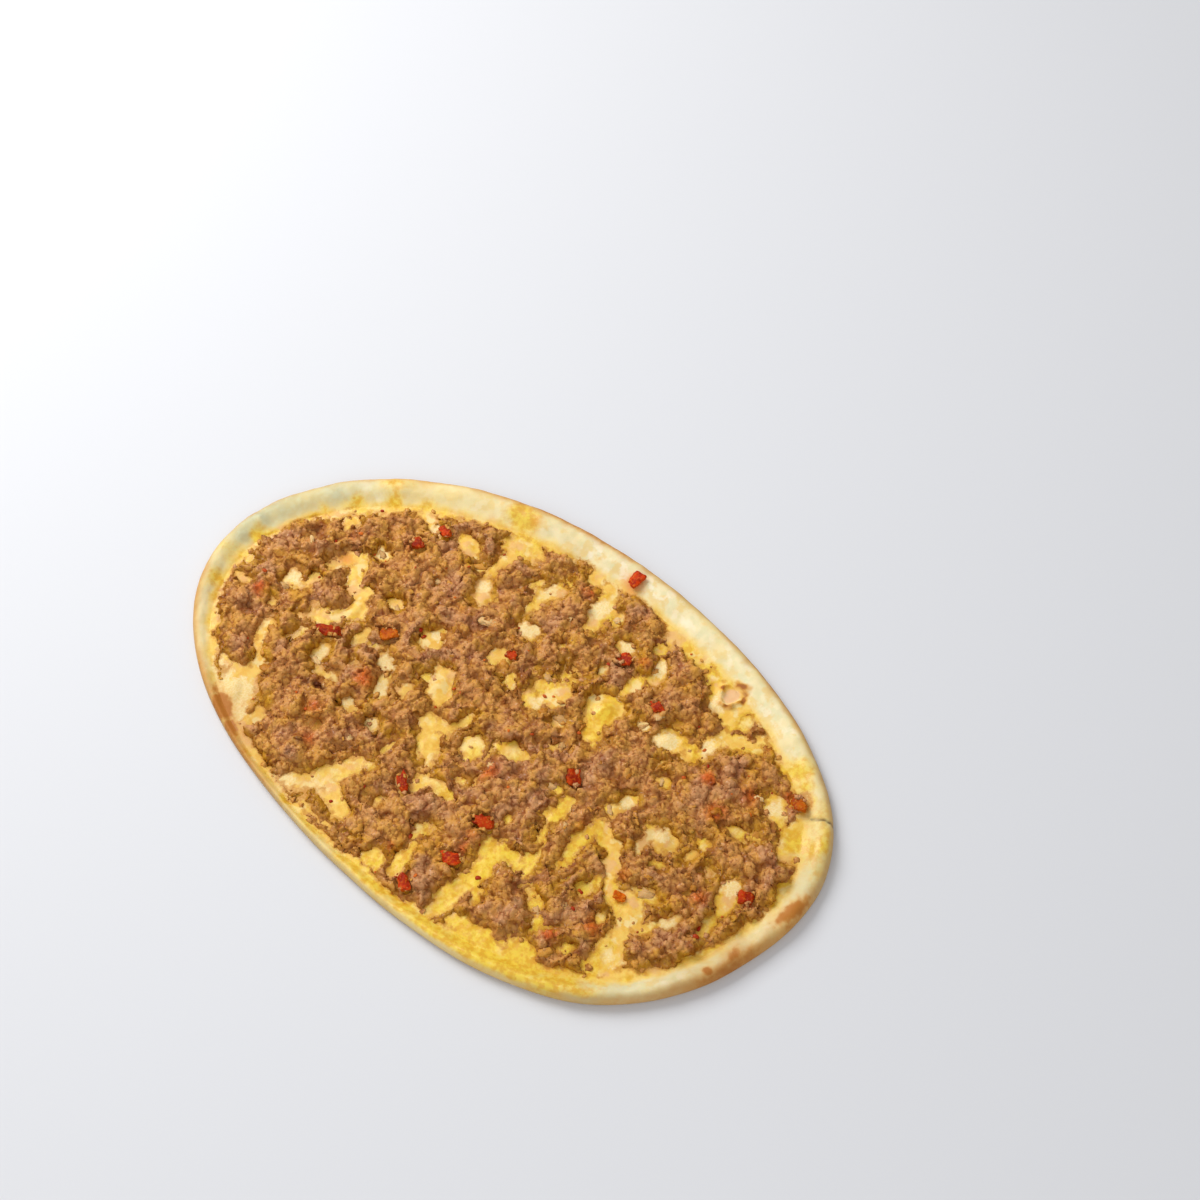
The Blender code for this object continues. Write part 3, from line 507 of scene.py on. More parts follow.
breadLook = {
    # form, in millimetres and degrees; the waves round the edge are number, share of the radius, crest
    "length": 280.0, "width": 175.0, "columns": 720, "edgeUneven": 0.5, "edgeNoise": (5.0, 3.7),
    "waves": (
        (1, 0.0175, -12.0), (2, 0.0220, 40.0), (3, 0.0165, -51.0), (4, 0.0195, 35.0), (5, 0.0045, 24.0),
    ),
    "field": 3.6, "rimRise": 3.0, "rimWidth": 11.6, "rimWider": 2.4, "rimWiderAt": 125.0,
    "rimNarrowing": 0.72, "rimNarrowAt": 248.0, "rimNarrowSpread": 42.0, "rimLowering": 0.62,
    "rimUneven": 0.55, "rimNoise": (3.2, 8.1),
    "rimLumps": ((0.6, 0.07, 6.0), (0.34, 0.2, 2.0), (0.13, 0.6, 5.0)),
    "fieldLumps": ((0.30, 0.075, 1.0), (0.2, 0.21, 4.0), (0.14, 0.5, 3.0)), "underMince": 0.35,
    # the rim's section: share of its width inwards, and share of the height or of the rise over the field
    "outer": ((0.20, 0.0), (0.06, 0.10), (0.0, 0.36), (0.04, 0.66), (0.16, 0.90), (0.34, 1.0)),
    "inner": ((0.55, 0.84), (0.78, 0.34), (1.0, 0.0)), "stepsBetween": 4,
    # spacing of the field's points where it is bare, under the mince and on the underside
    "fineStep": 0.68, "fineFrom": -1.4, "coarseStep": 2.6, "coarseTo": -2.6, "bottomStep": 9.0,
    "blisterSpread": 1.2, "blisterRise": 0.75, "blisterUneven": 0.3,
    # x, y, half length, half width, height, turn
    "blisters": (
        (28.5, 28.0, 5.6, 4.6, 1.7, 60.0), (-75.5, -6.0, 3.9, 2.8, 1.1, 95.0),
        (82.5, 1.2, 4.2, 2.9, 1.2, 5.0), (-26.5, -7.0, 6.0, 3.4, 1.1, 120.0),
        (-85.0, -62.5, 5.5, 3.4, 1.3, -38.0), (93.5, -29.0, 3.8, 2.2, 0.9, -10.0),
        (56.0, 34.0, 3.4, 2.8, 1.0, 30.0), (-62.0, 46.0, 3.8, 2.4, 1.0, -5.0),
    ),
    # the wall that a burst bubble left: x, y, half length, half width, turn
    "burst": (61.8, 65.5, 5.8, 4.0, 80.0), "burstWall": 1.6, "burstThin": 0.19, "burstHollow": 0.35,
    "burstUneven": (0.3, 0.22, 19.0), "burstTorn": (0.9, 0.4, 9.0),
    # a short crack in the rim
    "crack": ((118.5, 44.5), (122.0, 47.0), (126.5, 48.4)), "crackWide": 0.45, "crackDeep": 0.5,
    # x, y, radius, strength of oil that has soaked in
    "oilSpots": (
        (30, 25, 8.5, 1), (34, 17, 5, 0.8), (62, -15, 6, 0.8), (-13, -31, 7, 0.7), (85, -30, 7, 0.7),
        (120, 34, 8, 0.9), (102, 57, 7, 0.9), (64, 55, 5, 0.5), (10, -78, 9, 0.9), (-130, -6, 6, 0.6),
        (-105, 48, 8, 0.7), (60, -76, 9, 0.7), (40, -66, 6, 0.5), (-20, -52, 6, 0.5), (-97, 5, 5, 0.5),
        (5, -66, 5, 0.5), (118, -14, 6, 0.5), (-55, 71, 8.5, 1), (36, 70, 5, 0.7), (-42, 63, 4, 0.7),
        (88, -70, 9, 0.7), (35, 72, 6, 0.35), (-60, 47, 5, 0.4), (108, 53, 4.5, 0.8), (98, 52, 4, 0.6),
        (-129, -8, 5, 0.9), (-128, -18, 4, 0.6), (-127, -33, 5, 0.8), (-111, 32, 5, 0.8), (-100, 42, 6, 0.8),
        (-88, 49, 5, 0.7), (-119, 20, 4, 0.6), (96, -52, 5, 0.7), (86, -62, 6, 0.8),
    ),
    # the same of pale dry dough
    "creamSpots": (
        (17, 54, 4, 0.8), (33, 56, 4, 0.8), (56, 33, 5, 0.9), (45, 32, 3, 0.8), (70, 42, 5, 0.6),
        (60, 58, 5, 0.7), (-18, 35, 5, 0.9), (-25, 54, 4, 0.6), (-44, 37, 4, 0.6), (-86, 21, 3, 0.9),
        (-48, -14, 5, 0.9), (-42, -24, 4, 0.8), (-70, -29, 5, 0.8), (-35, -37, 4, 0.7), (-49, -36, 4, 0.7),
        (3, -18, 5, 0.8), (16, -10, 5, 0.5), (45, -11, 4, 0.6), (62, -48, 4, 0.8), (52, -41, 4, 0.5),
        (80, 3, 5, 0.6), (62, 4, 3, 0.8), (114, 4, 4, 0.7), (106, 39, 4, 0.7), (116, 30, 3, 0.6),
        (101, 22, 3, 0.7), (106, -23, 4, 0.8), (-104, -11, 5, 0.7), (-78, 44, 4, 0.6), (-3, 60, 5, 0.6),
        (98, -47, 4, 0.5), (73, -31, 3, 0.7), (-95, -62, 6, 1), (-84, -63, 7, 1), (-76, -69, 4, 0.8),
        (-43, -77, 5, 0.9), (60, -48, 4, 0.6), (8, 12, 4, 0.5), (-30, -68, 6, 0.4), (-88, -65, 6, 0.9),
        (-93, 3, 3, 0.6), (-43, 8, 3, 0.6),
    ),
    # the same of orange juice from the pepper
    "stains": (
        (0, 77, 5.5, 1), (-49, 73, 4, 0.5), (83, -61, 6, 0.8), (112, 46, 6, 0.5), (110, -8, 5, 0.5),
        (-12, 22, 4, 0.5), (-96, 9, 5, 0.8), (41, -5, 5, 0.3), (86, -27, 4, 0.5), (22, -74, 6, 0.35),
        (-64, 62, 4, 0.4),
    ),
    # x, y, half length, half width, turn, strength of browned places
    "toast": (
        (-82, -70.5, 9, 5.2, -28, 1.5), (-73, -74.5, 7, 3.4, -22, 1.3), (-90, -67.5, 5, 2.6, -40, 1),
        (131.5, -17, 9, 4.2, 100, 0.95), (136.5, 10.5, 12, 4, 80, 1.3), (128.5, -27.5, 3, 2.2, 20, 1.3),
        (-47, 80.5, 15, 2.2, 12, 0.45), (-90, 64.5, 12, 2, 28, 0.4), (112, -58, 10, 1.6, 42, 0.3),
        (96, -69, 9, 1.6, 30, 0.4), (-120, 38, 8, 1.6, 55, 0.35), (-47, -82, 10, 2.6, -5, 0.6),
        (60, 65, 6.4, 5, 80, 0.35), (0, 84, 9, 2.2, 0, 0.4),
    ),
    # direction round the rim, spread, how far inwards, strength of browning on the outer edge
    "toastBands": (
        (346, 17, 5.2, 0.9), (322, 9, 2.4, 0.5), (5, 10, 3.6, 0.75), (106, 30, 4.2, 0.9),
        (140, 16, 4.2, 0.75), (62, 20, 3, 0.8), (208, 18, 3.2, 0.55), (180, 20, 1.6, 0.5),
        (243, 10, 3.6, 0.8), (30, 16, 2.4, 0.6), (226, 10, 2.6, 0.7), (300, 14, 1.4, 0.35),
    ),
    # direction round the rim, spread, strength
    "palePlaces": (
        (92, 34, 1), (58, 20, 0.9), (328, 14, 1), (318, 9, 0.9), (350, 14, 0.7), (20, 14, 0.6),
        (228, 14, 0.9), (150, 14, 0.6), (8, 16, 0.45), (210, 10, 0.7),
    ),
    # stretches where the tan band on the outer edge is wider and where the rim gets painted shade
    "tanAndShadePlaces": (
        (240, 16, 0.9), (345, 14, 1), (310, 9, 0.4), (20, 16, 0.5), (206, 10, 0.4), (106, 20, 0.35),
    ),
    # stretches of the rim that get painted olive-grey shade
    "oliveShadePlaces": ((180, 16, 1), (158, 12, 0.6), (318, 10, 0.45), (18, 12, 0.3), (334, 8, 0.25)),
    "yellowPlaces": (
        (302, 17, 1.3), (288, 12, 1), (275, 12, 0.8), (27, 12, 0.75), (262, 14, 0.6), (194, 5, 0.6),
    ),
}


def breadEdge():
    # points, inward directions, rim widths and rim heights, column by column
    look = breadLook
    angle = np.linspace(0.0, 360.0, look["columns"], endpoint=False)
    turn = np.radians(angle)

    def roundNoise(fineness, layer):
        return np.array([
            noise.noise(Vector((fineness * math.cos(way), fineness * math.sin(way), layer))) for way in turn
        ])

    radius = 1.0 + sum(
        share * np.cos(waves * (turn - math.radians(crest))) for waves, share, crest in look["waves"])
    wobble = look["edgeUneven"] * roundNoise(*look["edgeNoise"])
    raw = np.stack([
        (0.5 * look["length"] * radius + wobble) * np.cos(turn),
        (0.5 * look["width"] * radius + wobble) * np.sin(turn),
    ], axis=1)
    low, high = raw.min(0), raw.max(0)
    points = (raw - (low + high) / 2.0) * np.array([look["length"], look["width"]]) / (high - low)
    along = np.roll(points, -1, axis=0) - np.roll(points, 1, axis=0)
    inward = np.stack([-along[:, 1], along[:, 0]], axis=1)
    inward /= np.linalg.norm(inward, axis=1)[:, None]
    narrow = swell(angle, look["rimNarrowAt"], look["rimNarrowSpread"])
    widths = look["rimWidth"] + look["rimWider"] * np.cos(np.radians(angle - look["rimWiderAt"]))
    widths *= 1.0 - look["rimNarrowing"] * narrow
    heights = look["field"] + look["rimRise"] * (1.0 - look["rimLowering"] * narrow)
    heights += look["rimUneven"] * roundNoise(*look["rimNoise"])
    return {"angle": angle, "points": points, "inward": inward, "widths": widths, "heights": heights}


def smoothThrough(points, steps):
    # a curve through every point, with this many steps from one to the next
    found = []
    for index in range(len(points) - 1):
        before = points[max(index - 1, 0)]
        here, there = points[index], points[index + 1]
        after = points[min(index + 2, len(points) - 1)]
        for step in range(steps):
            t = step / steps
            found.append(0.5 * (
                2.0 * here + (there - before) * t + (2.0 * before - 5.0 * here + 4.0 * there - after) * t * t
                + (3.0 * here - before - 3.0 * there + after) * t ** 3
            ))
    found.append(points[-1])
    return found


def burstShare(points):
    # 1 on the wall of the burst bubble
    uneven = layeredNoise(points, breadLook["burstUneven"])
    return ellipseShare(points, *breadLook["burst"]) * (1.0 + uneven)


def fieldRelief(points):
    # what rises and sinks on the bare dough, in millimetres
    look = breadLook
    relief = layeredNoise(points, *look["fieldLumps"])
    for index, (x, y, halfLength, halfWidth, height, turn) in enumerate(look["blisters"]):
        spread = look["blisterSpread"]
        share = ellipseShare(points, x, y, halfLength * spread, halfWidth * spread, turn)
        near = share < 1.0
        dome = np.zeros(len(points))
        uneven = 1.0 + look["blisterUneven"] * noiseAt(points[near], 0.3, index)
        dome[near] = (1.0 - share[near] ** 2) ** 1.5 * uneven
        relief += look["blisterRise"] * height * dome
    share = burstShare(points)
    near = share < 2.0
    wall = np.zeros(len(points))
    torn = 1.0 + layeredNoise(points[near], look["burstTorn"])
    wall[near] = np.exp(-((share[near] - 1.0) / look["burstThin"]) ** 2) * look["burstWall"] * torn
    wall[near] -= look["burstHollow"] * smoothStep(-share[near], -0.95, -0.6)
    return relief + wall


def fillRing(ring, spots, ringStart, spotStart):
    # triangles over a ring of corners and the spots inside it, and the points that this adds
    count = len(ring)
    flat = [Vector(spot) for spot in ring] + [Vector(spot) for spot in spots]
    edges = [(column, (column + 1) % count) for column in range(count)]
    found, _, triangles, origins, *_ = geometry.delaunay_2d_cdt(flat, edges, [], 1, 0.0001)
    place, added = {}, []
    for index, origin in enumerate(origins):
        if origin and origin[0] < count:
            place[index] = ringStart + origin[0]
        else:
            place[index] = spotStart + len(added)
            added.append((found[index].x, found[index].y))
    return [tuple(place[corner] for corner in face) for face in triangles], np.array(added)


def makeBreadMesh():
    look = breadLook
    edge = breadEdge()
    columns = look["columns"]
    tall = edge["heights"]
    rise = tall - look["field"]
    profile = [np.stack([np.full(columns, share), tall * lift], 1) for share, lift in look["outer"]]
    for share, lift in look["inner"]:
        profile.append(np.stack([np.full(columns, share), look["field"] + rise * lift], 1))
    rings = smoothThrough(profile, look["stepsBetween"])
    points, faces = [], []
    for ring in rings:
        share = np.maximum(ring[:, 0], 0.0)
        flat = edge["points"] + edge["inward"] * (edge["widths"] * share)[:, None]
        points.append(np.column_stack([flat, np.maximum(ring[:, 1], 0.0)]))
    count = len(rings)
    for ring in range(count - 1):
        for column in range(columns):
            after = (column + 1) % columns
            low, high = ring * columns, (ring + 1) * columns
            faces.append((low + column, low + after, high + after, high + column))
    points = np.concatenate(points)

    # soft lumps on the rim
    upper = smoothStep(points[:, 2], 1.2, 3.0)
    points[:, 2] += upper * layeredNoise(points[:, :2], *look["rimLumps"])

    # the field, with fine triangles only where the dough is bare
    ring = points[(count - 1) * columns:, :2]
    spots = fieldSpots(ring, look["fineStep"], lambda away: away > look["fineFrom"])
    spots += fieldSpots(ring, look["coarseStep"], lambda away: away < look["coarseTo"])
    field, added = fillRing(ring, spots, len(points) - columns, len(points))
    faces += field
    bare = smoothStep(minceMap.away(added), -2.0, 0.5)
    fade = smoothStep(nearEdge(edge, added)[1], 0.0, 3.0)
    share = look["underMince"] + (1.0 - look["underMince"]) * bare
    heights = look["field"] + fade * fieldRelief(added) * share
    points = np.concatenate([points, np.column_stack([added, heights])])

    # flat underside
    ring = points[:columns, :2]
    spots = fieldSpots(ring, look["bottomStep"], lambda away: np.full(len(away), True))
    bottom, added = fillRing(ring, spots, 0, len(points))
    faces += [tuple(reversed(face)) for face in bottom]
    points = np.concatenate([points, np.column_stack([added, np.zeros(len(added))])])
    return points, faces, edge


def fieldSpots(ring, step, allowed):
    # a grid of triangles inside a ring
    lowX, lowY = ring.min(0)
    highX, highY = ring.max(0)
    rise = step * math.sqrt(0.75)
    spots = []
    for row in range(int((highY - lowY) / rise)):
        y = lowY + (row + 0.5) * rise
        xs = lowX + step * (np.arange(int((highX - lowX) / step)) + 0.5 * (row % 2))
        line = np.column_stack([xs, np.full(len(xs), y)])
        crossings = ringCrossings(ring, y)
        inside = np.zeros(len(xs), bool)
        for left, right in zip(crossings[::2], crossings[1::2]):
            inside |= (xs > left + 0.45 * step) & (xs < right - 0.45 * step)
        keep = inside & allowed(minceMap.away(line))
        spots += [tuple(spot) for spot in line[keep]]
    return spots


def ringCrossings(ring, y):
    # where a ring crosses a line along x
    after = np.roll(ring, -1, axis=0)
    cut = (ring[:, 1] > y) != (after[:, 1] > y)
    here, there = ring[cut], after[cut]
    return np.sort(here[:, 0] + (y - here[:, 1]) * (there[:, 0] - here[:, 0]) / (there[:, 1] - here[:, 1]))


def nearEdge(edge, points):
    # for each point its nearest column, and how far in it lies from the rim's inner end and from the edge
    tree = kdtree.KDTree(len(edge["points"]))
    for index, (x, y) in enumerate(edge["points"]):
        tree.insert((x, y, 0.0), index)
    tree.balance()
    column = np.array([tree.find((x, y, 0.0))[1] for x, y in points])
    depth = ((points - edge["points"][column]) * edge["inward"][column]).sum(1)
    return column, depth - edge["widths"][column], depth


def spotStrength(points, spots, layer):
    # the strongest of several round spots with uneven edges
    ragged = 1.0 + 0.45 * noiseAt(points, 0.22, layer)
    found = np.zeros(len(points))
    for x, y, radius, strength in spots:
        away = np.hypot(points[:, 0] - x, points[:, 1] - y) / (radius * ragged)
        found = np.maximum(found, strength * np.exp(-away ** 2 * 1.1))
    return found


def crackDepth(points):
    # 1 on the crack's line, fading beside it
    found = np.zeros(len(points))
    line = [np.array(spot) for spot in breadLook["crack"]]
    for start, end in zip(line, line[1:]):
        along = end - start
        share = np.clip(((points - start) @ along) / (along @ along), 0.0, 1.0)
        away = np.linalg.norm(points - (start + share[:, None] * along), axis=1)
        found = np.maximum(found, np.exp(-((away / breadLook["crackWide"]) ** 2)))
    return found


def aroundRim(angle, places):
    # the strongest of several stretches round the rim
    return np.max([strength * swell(angle, middle, spread) for middle, spread, strength in places], axis=0)


def toastStrength(flat, angle, depth, rough, fine):
    # how brown the dough is, from single places and from bands on the outer edge
    toast = np.zeros(len(flat))
    for x, y, halfLength, halfWidth, turn, strength in breadLook["toast"]:
        share = ellipseShare(flat, x, y, halfLength, halfWidth, turn) * (1.0 + 0.35 * fine)
        toast = np.maximum(toast, strength * np.exp(-share ** 2 * 1.4))
    for middle, spread, reach, strength in breadLook["toastBands"]:
        inwards = depth / (reach * (1.0 + 0.7 * rough + 0.3 * fine))
        band = strength * swell(angle, middle, spread) * np.exp(-np.maximum(inwards, 0.0) ** 2)
        toast = np.maximum(toast, band)
    return toast


def oilStrength(flat, away, inset, soaked, cream, rough):
    # how oily the dough is: round the mince, along the rim's inner end, in spots and where it has soaked in
    reach = 2.6 * (1.0 + 0.6 * rough)
    halo = np.exp(-((away / reach) ** 2)) * smoothStep(noiseAt(flat, 0.09, 17.0), -0.35, 0.25)
    halo *= 1.0 - 0.8 * smoothStep(cream, 0.1, 0.5)
    band = smoothStep(-np.abs(inset - 0.5), -5.0, -0.5) * smoothStep(-away, -9.0, -3.0)
    oil = np.maximum(0.85 * halo, 0.6 * band * (0.7 + 0.9 * rough))
    oil = np.maximum(oil, spotStrength(flat, breadLook["oilSpots"], 5.0))
    return np.clip(np.maximum(oil, soaked * (0.8 + 0.5 * rough)), 0.0, 1.0)


def makeBread(material):
    look = breadLook
    points, faces, edge = makeBreadMesh()
    flat = points[:, :2]
    column, inset, depth = nearEdge(edge, flat)
    angle = edge["angle"][column]
    top = smoothStep(points[:, 2], 0.4, 2.0)
    crack = crackDepth(flat) * top
    points[:, 2] -= look["crackDeep"] * crack
    mesh = meshFrom("bread", [tuple(point * mm) for point in points], faces, material)

    # what each place of the dough is like, for its material
    away = np.maximum(minceMap.away(flat), 0.0)
    rough, fine = noiseAt(flat, 0.16, 12.0), noiseAt(flat, 0.5, 14.0)
    uneven = 0.85 + 0.5 * rough
    cream = spotStrength(flat, look["creamSpots"], 15.0)
    yellow, tanAndShade = aroundRim(angle, look["yellowPlaces"]), aroundRim(angle, look["tanAndShadePlaces"])
    soaked = yellow * smoothStep(depth, -0.6, 2.4)
    outer = np.exp(-((depth / (2.3 + 2.2 * tanAndShade + 1.4 * rough)) ** 2)) * top * (0.75 + 0.25 * tanAndShade)
    bubble = burstShare(flat)
    farSide = (flat[:, 0] - look["burst"][0] + flat[:, 1] - look["burst"][1]) / 12.0
    ringStrength = 0.7 + 0.35 * np.clip(farSide, -1.0, 1.0) + 1.0 * fine
    for name, values in {
        "oil": oilStrength(flat, away, inset, soaked, cream, rough) * top,
        "fringe": np.exp(-((away / (0.9 + 0.7 * np.maximum(fine, 0.0))) ** 2)) * top,
        "toast": toastStrength(flat, angle, depth, rough, fine) * top,
        "burst": np.exp(-((bubble - 0.98) / 0.32) ** 2) * ringStrength,
        "blush": smoothStep(-bubble, -0.85, -0.4),
        "stain": spotStrength(flat, look["stains"], 8.0) * top,
        "rim": smoothStep(-inset, -1.5, 2.5),
        # painted olive-grey shade on the rim's shaded stretches
        "olive": aroundRim(angle, look["oliveShadePlaces"]) * uneven,
        "pale": aroundRim(angle, look["palePlaces"]) * smoothStep(depth, 1.0, 4.0) * uneven,
        # painted contact shadow at the foot of the outer wall, where the bread sits
        "seat": np.exp(-((points[:, 2] - 1.0) / 1.6) ** 2) * (depth < 3.0),
        "outer": outer * (1.0 - 0.7 * np.minimum(yellow, 1.0)),
        "slope": smoothStep(inset + 2.6 * rough, -4.6, 0.4),
        # painted shade that dims the rim's top on those stretches
        "dusk": tanAndShade * top,
        "cream": cream,
        # the crack's line, where shade is painted
        "crack": crack,
        "under": 1.0 - top,
    }.items():
        storeValues(mesh, name, values)
    addPiece("breadDough", mesh, ["bread"])


def fieldTone(graph, middle, fine, patchy):
    # the flat field: golden, with tanned, pale and creamy places
    tone = graph.blend(middle.between(0.36, 0.64), shade(234, 182, 70), shade(242, 202, 98))
    tone = graph.blend(graph.grain(0.11, 3.0).between(0.52, 0.62) * 0.8, tone, shade(232, 180, 116))
    tone = graph.blend(graph.grain(0.17, 3.0).between(0.54, 0.62) * 0.85, tone, shade(242, 216, 146))
    cream = graph.attribute("cream")
    creamy = (cream * 1.9 + (patchy - 0.5) * 2.2).between(0.45, 0.85) * cream.between(0.03, 0.2)
    creamTone = graph.blend(fine.between(0.4, 0.6), shade(240, 210, 138), shade(248, 226, 168))
    return graph.blend(creamy * 0.9, tone, creamTone)


def rimTone(graph, broad, middle, patchy):
    # the rim: cream to white, with painted olive-grey shade in places and tan in others, golden on its inner
    # slope
    olive, slope = graph.attribute("olive"), graph.attribute("slope")
    tone = graph.blend(broad.between(0.38, 0.62), shade(228, 200, 124), shade(236, 214, 148))
    pale = graph.blend(middle.between(0.35, 0.6), shade(228, 222, 178), shade(242, 230, 188))
    pale = graph.blend(graph.grain(0.16, 3.0).between(0.5, 0.62) * 0.8, pale, shade(236, 204, 132))
    pale = graph.blend(graph.grain(0.2, 3.0).between(0.55, 0.66) * 0.8, pale, shade(250, 240, 212))
    tone = graph.blend(graph.attribute("pale") * 0.95, tone, pale)
    # painted olive-grey shade where the rim lies in shade
    tone = graph.blend(olive * 0.9, tone, shade(182, 178, 140))
    tone = graph.blend((olive * middle.between(0.4, 0.7)) * 0.8, tone, shade(208, 210, 172))
    outer = (graph.attribute("outer") * (0.45 + patchy * 1.1)).between(0.0, 1.0)
    tone = graph.blend(outer * 0.9, tone, shade(196, 150, 92))
    sloping = (slope + (patchy - 0.5) * 0.9 * slope + (broad - 0.5) * 1.4 * slope).between(0.1, 1.1)
    slopeTone = graph.blend(broad.between(0.42, 0.58), shade(238, 204, 92), shade(240, 212, 128))
    return graph.blend(sloping * 0.85, tone, slopeTone)


def makeDoughMaterial():
    material, graph, shader = newMaterial("bakedDough")
    oil, fringe = graph.attribute("oil"), graph.attribute("fringe")
    toast, stain = graph.attribute("toast"), graph.attribute("stain")
    broad, middle = graph.grain(0.07, 3.0), graph.grain(0.28, 3.0)
    fine, patchy = graph.grain(1.3, 3.0, 0.6), graph.grain(0.42, 4.0, 0.62)
    field, rim = fieldTone(graph, middle, fine, patchy), rimTone(graph, broad, middle, patchy)
    colour = graph.blend(graph.attribute("rim"), field, rim)

    # oil, pepper juice and the brown line where the mince ends
    oily = (oil + (patchy - 0.5) * 1.1 * oil + (broad - 0.5) * 0.7 * oil).between(0.2, 0.8)
    oilTone = graph.blend(patchy.between(0.38, 0.62), shade(240, 206, 58), shade(224, 170, 24))
    colour = graph.blend(oily * 0.9, colour, oilTone)
    stained = (stain + (fine - 0.5) * 0.6 * stain).between(0.1, 0.95)
    colour = graph.blend(stained * 0.75, colour, shade(228, 140, 42))
    fringed = (fringe * (fine * 1.5 + middle * 1.0 - 0.55)).between(0.1, 0.8)
    colour = graph.blend(fringed * 0.8, colour, shade(196, 130, 26))

    # browning, the burst bubble, painted shade on the rim, at its foot and in the crack, and the underside
    browned = (toast + (patchy - 0.5) * 0.7 * toast + (middle - 0.5) * 0.4 * toast).between(0.0, 1.2)
    colour = graph.blend(browned * 0.9, colour, shade(218, 156, 64))
    colour = graph.blend(browned.between(0.45, 1.0) * 0.85, colour, shade(182, 108, 18))
    blushed = (graph.attribute("blush") * (0.3 + middle)).between(0.1, 0.7)
    colour = graph.blend(blushed * 0.85, colour, shade(234, 186, 138))
    burst = graph.attribute("burst")
    burstTone = graph.blend(burst.between(0.55, 1.0), shade(214, 148, 34), shade(158, 84, 0))
    colour = graph.blend((burst * (0.6 + middle * 0.8)).between(0.1, 0.85) * 0.95, colour, burstTone)
    # painted shade: the rim dimmed towards a warm grey
    duskShaded = graph.blend(1.0, colour, shade(228, 220, 206), "MULTIPLY")
    colour = graph.blend(graph.attribute("dusk") * 0.75, colour, duskShaded)
    # painted contact shadow low on the outer wall
    colour = graph.blend(graph.attribute("seat") * 0.45, colour, shade(170, 122, 62))
    colour = graph.blend(graph.attribute("under") * 0.8, colour, shade(206, 160, 96))
    colour = graph.blend(fine.between(0.62, 0.80) * 0.25, colour, shade(206, 162, 84))
    # painted shade in the crack
    colour = graph.blend(graph.attribute("crack") * 0.9, colour, shade(74, 48, 24))

    feed(graph, shader, "Base Color", colour)
    feed(graph, shader, "Roughness", 0.66 - oily * 0.34 + (fine - 0.5) * 0.12)
    height = middle * 0.55 + fine * 0.35 + graph.grain(3.2, 2.0) * 0.12
    feed(graph, shader, "Normal", graph.bump(height, 0.55, 0.35))
    soften(shader, 0.12, (1.0, 0.55, 0.25), 0.0015, 0.42)
    return material


makeBread(makeDoughMaterial())
report("bread")


# mince

minceLook = {
    # form, in millimetres; the skirt is the part of the skin that dips into the dough
    "step": 0.585, "skirt": 0.9, "skirtLevel": 3.15, "coreFloor": 3.1, "crumbFloor": 3.3, "under": 0.02,
    "edgeRound": 3.2, "edgeVaries": 0.8, "sink": 0.15, "footSunk": 0.1, "hill": (1.5, 0.075, 51.0),
    "dip": 0.4, "dipReach": 3.4, "pepperDent": 0.35, "pepperNear": 1.9, "pepperSlope": 2.5,
    "openFrom": -0.25, "overPepper": -0.7,
    # size, height and lean of the lumps, largest first; the lean tilts each lump's top
    "clump": 9.5, "clumpHeight": 1.2, "clumpLean": 0.12,
    "lump": 4.6, "lumpHeight": 0.7, "lumpLean": 0.16, "pitDepth": 0.7,
    "granule": 2.1, "granuleHeight": 0.52, "granuleLean": 0.24,
    "grain": 1.1, "grainHeight": 0.2, "grainLean": 0.16, "uneven": 0.22,
    # crumbs fused on the core: name, spacing, smallest and largest radius, sink, triangles of one, seed
    "crumbs": (
        ("coarseCrumbs", 6.5, 1.0, 1.7, 1.0, 90, 3),
        ("middleCrumbs", 4.2, 0.6, 1.1, 0.6, 60, 4),
        ("fineCrumbs", 2.6, 0.3, 0.62, 0.2, 28, 5),
    ),
    "shapes": 10,
    # x, y, radius, strength of juice from the pepper
    "juice": (
        (-110, -25, 4, 0.9), (15, -22, 5, 0.8), (79, 31, 4, 0.9), (95, 36, 5, 0.7), (90, 22, 5, 0.9),
        (108, 47, 5, 1.0), (88, 58, 4, 0.8), (-49, -26, 5, 0.8), (-47, -58, 4, 0.7), (86, -42, 5, 0.8),
        (76, -55, 4, 0.9), (10, -70, 4, 0.8), (-10, 63, 4, 0.7), (28, -46, 5, 0.5), (27, 52, 4, 0.6),
        (30, -52, 4, 0.7), (-54, -48, 4, 0.7), (108, -8, 5, 0.7), (80, -20, 4, 0.6), (57, -14, 5, 0.6),
        (-78, 30, 4, 0.5), (-42, 22, 5, 0.35), (22, 74, 4, 0.4), (123, 2, 3, 0.6), (-100, 18, 4, 0.4),
    ),
    # the same of painted shadow in the darkest gaps
    "dark": (
        (-65, -42, 2.2, 1), (-61, -40, 2.4, 1), (-58, -39.5, 1.8, 0.9), (-48, -62, 2, 0.7),
        (-47, -68, 2, 0.6), (51, 47, 2.2, 0.6), (-11, 27, 2, 0.5), (-90, 26, 2, 0.5), (75, -43, 2, 0.5),
        (101, 12, 2, 0.5), (-59, 11, 2, 0.5), (48, 19, 2, 0.5), (-97, -51, 2, 0.5), (21, -50, 2, 0.4),
    ),
}

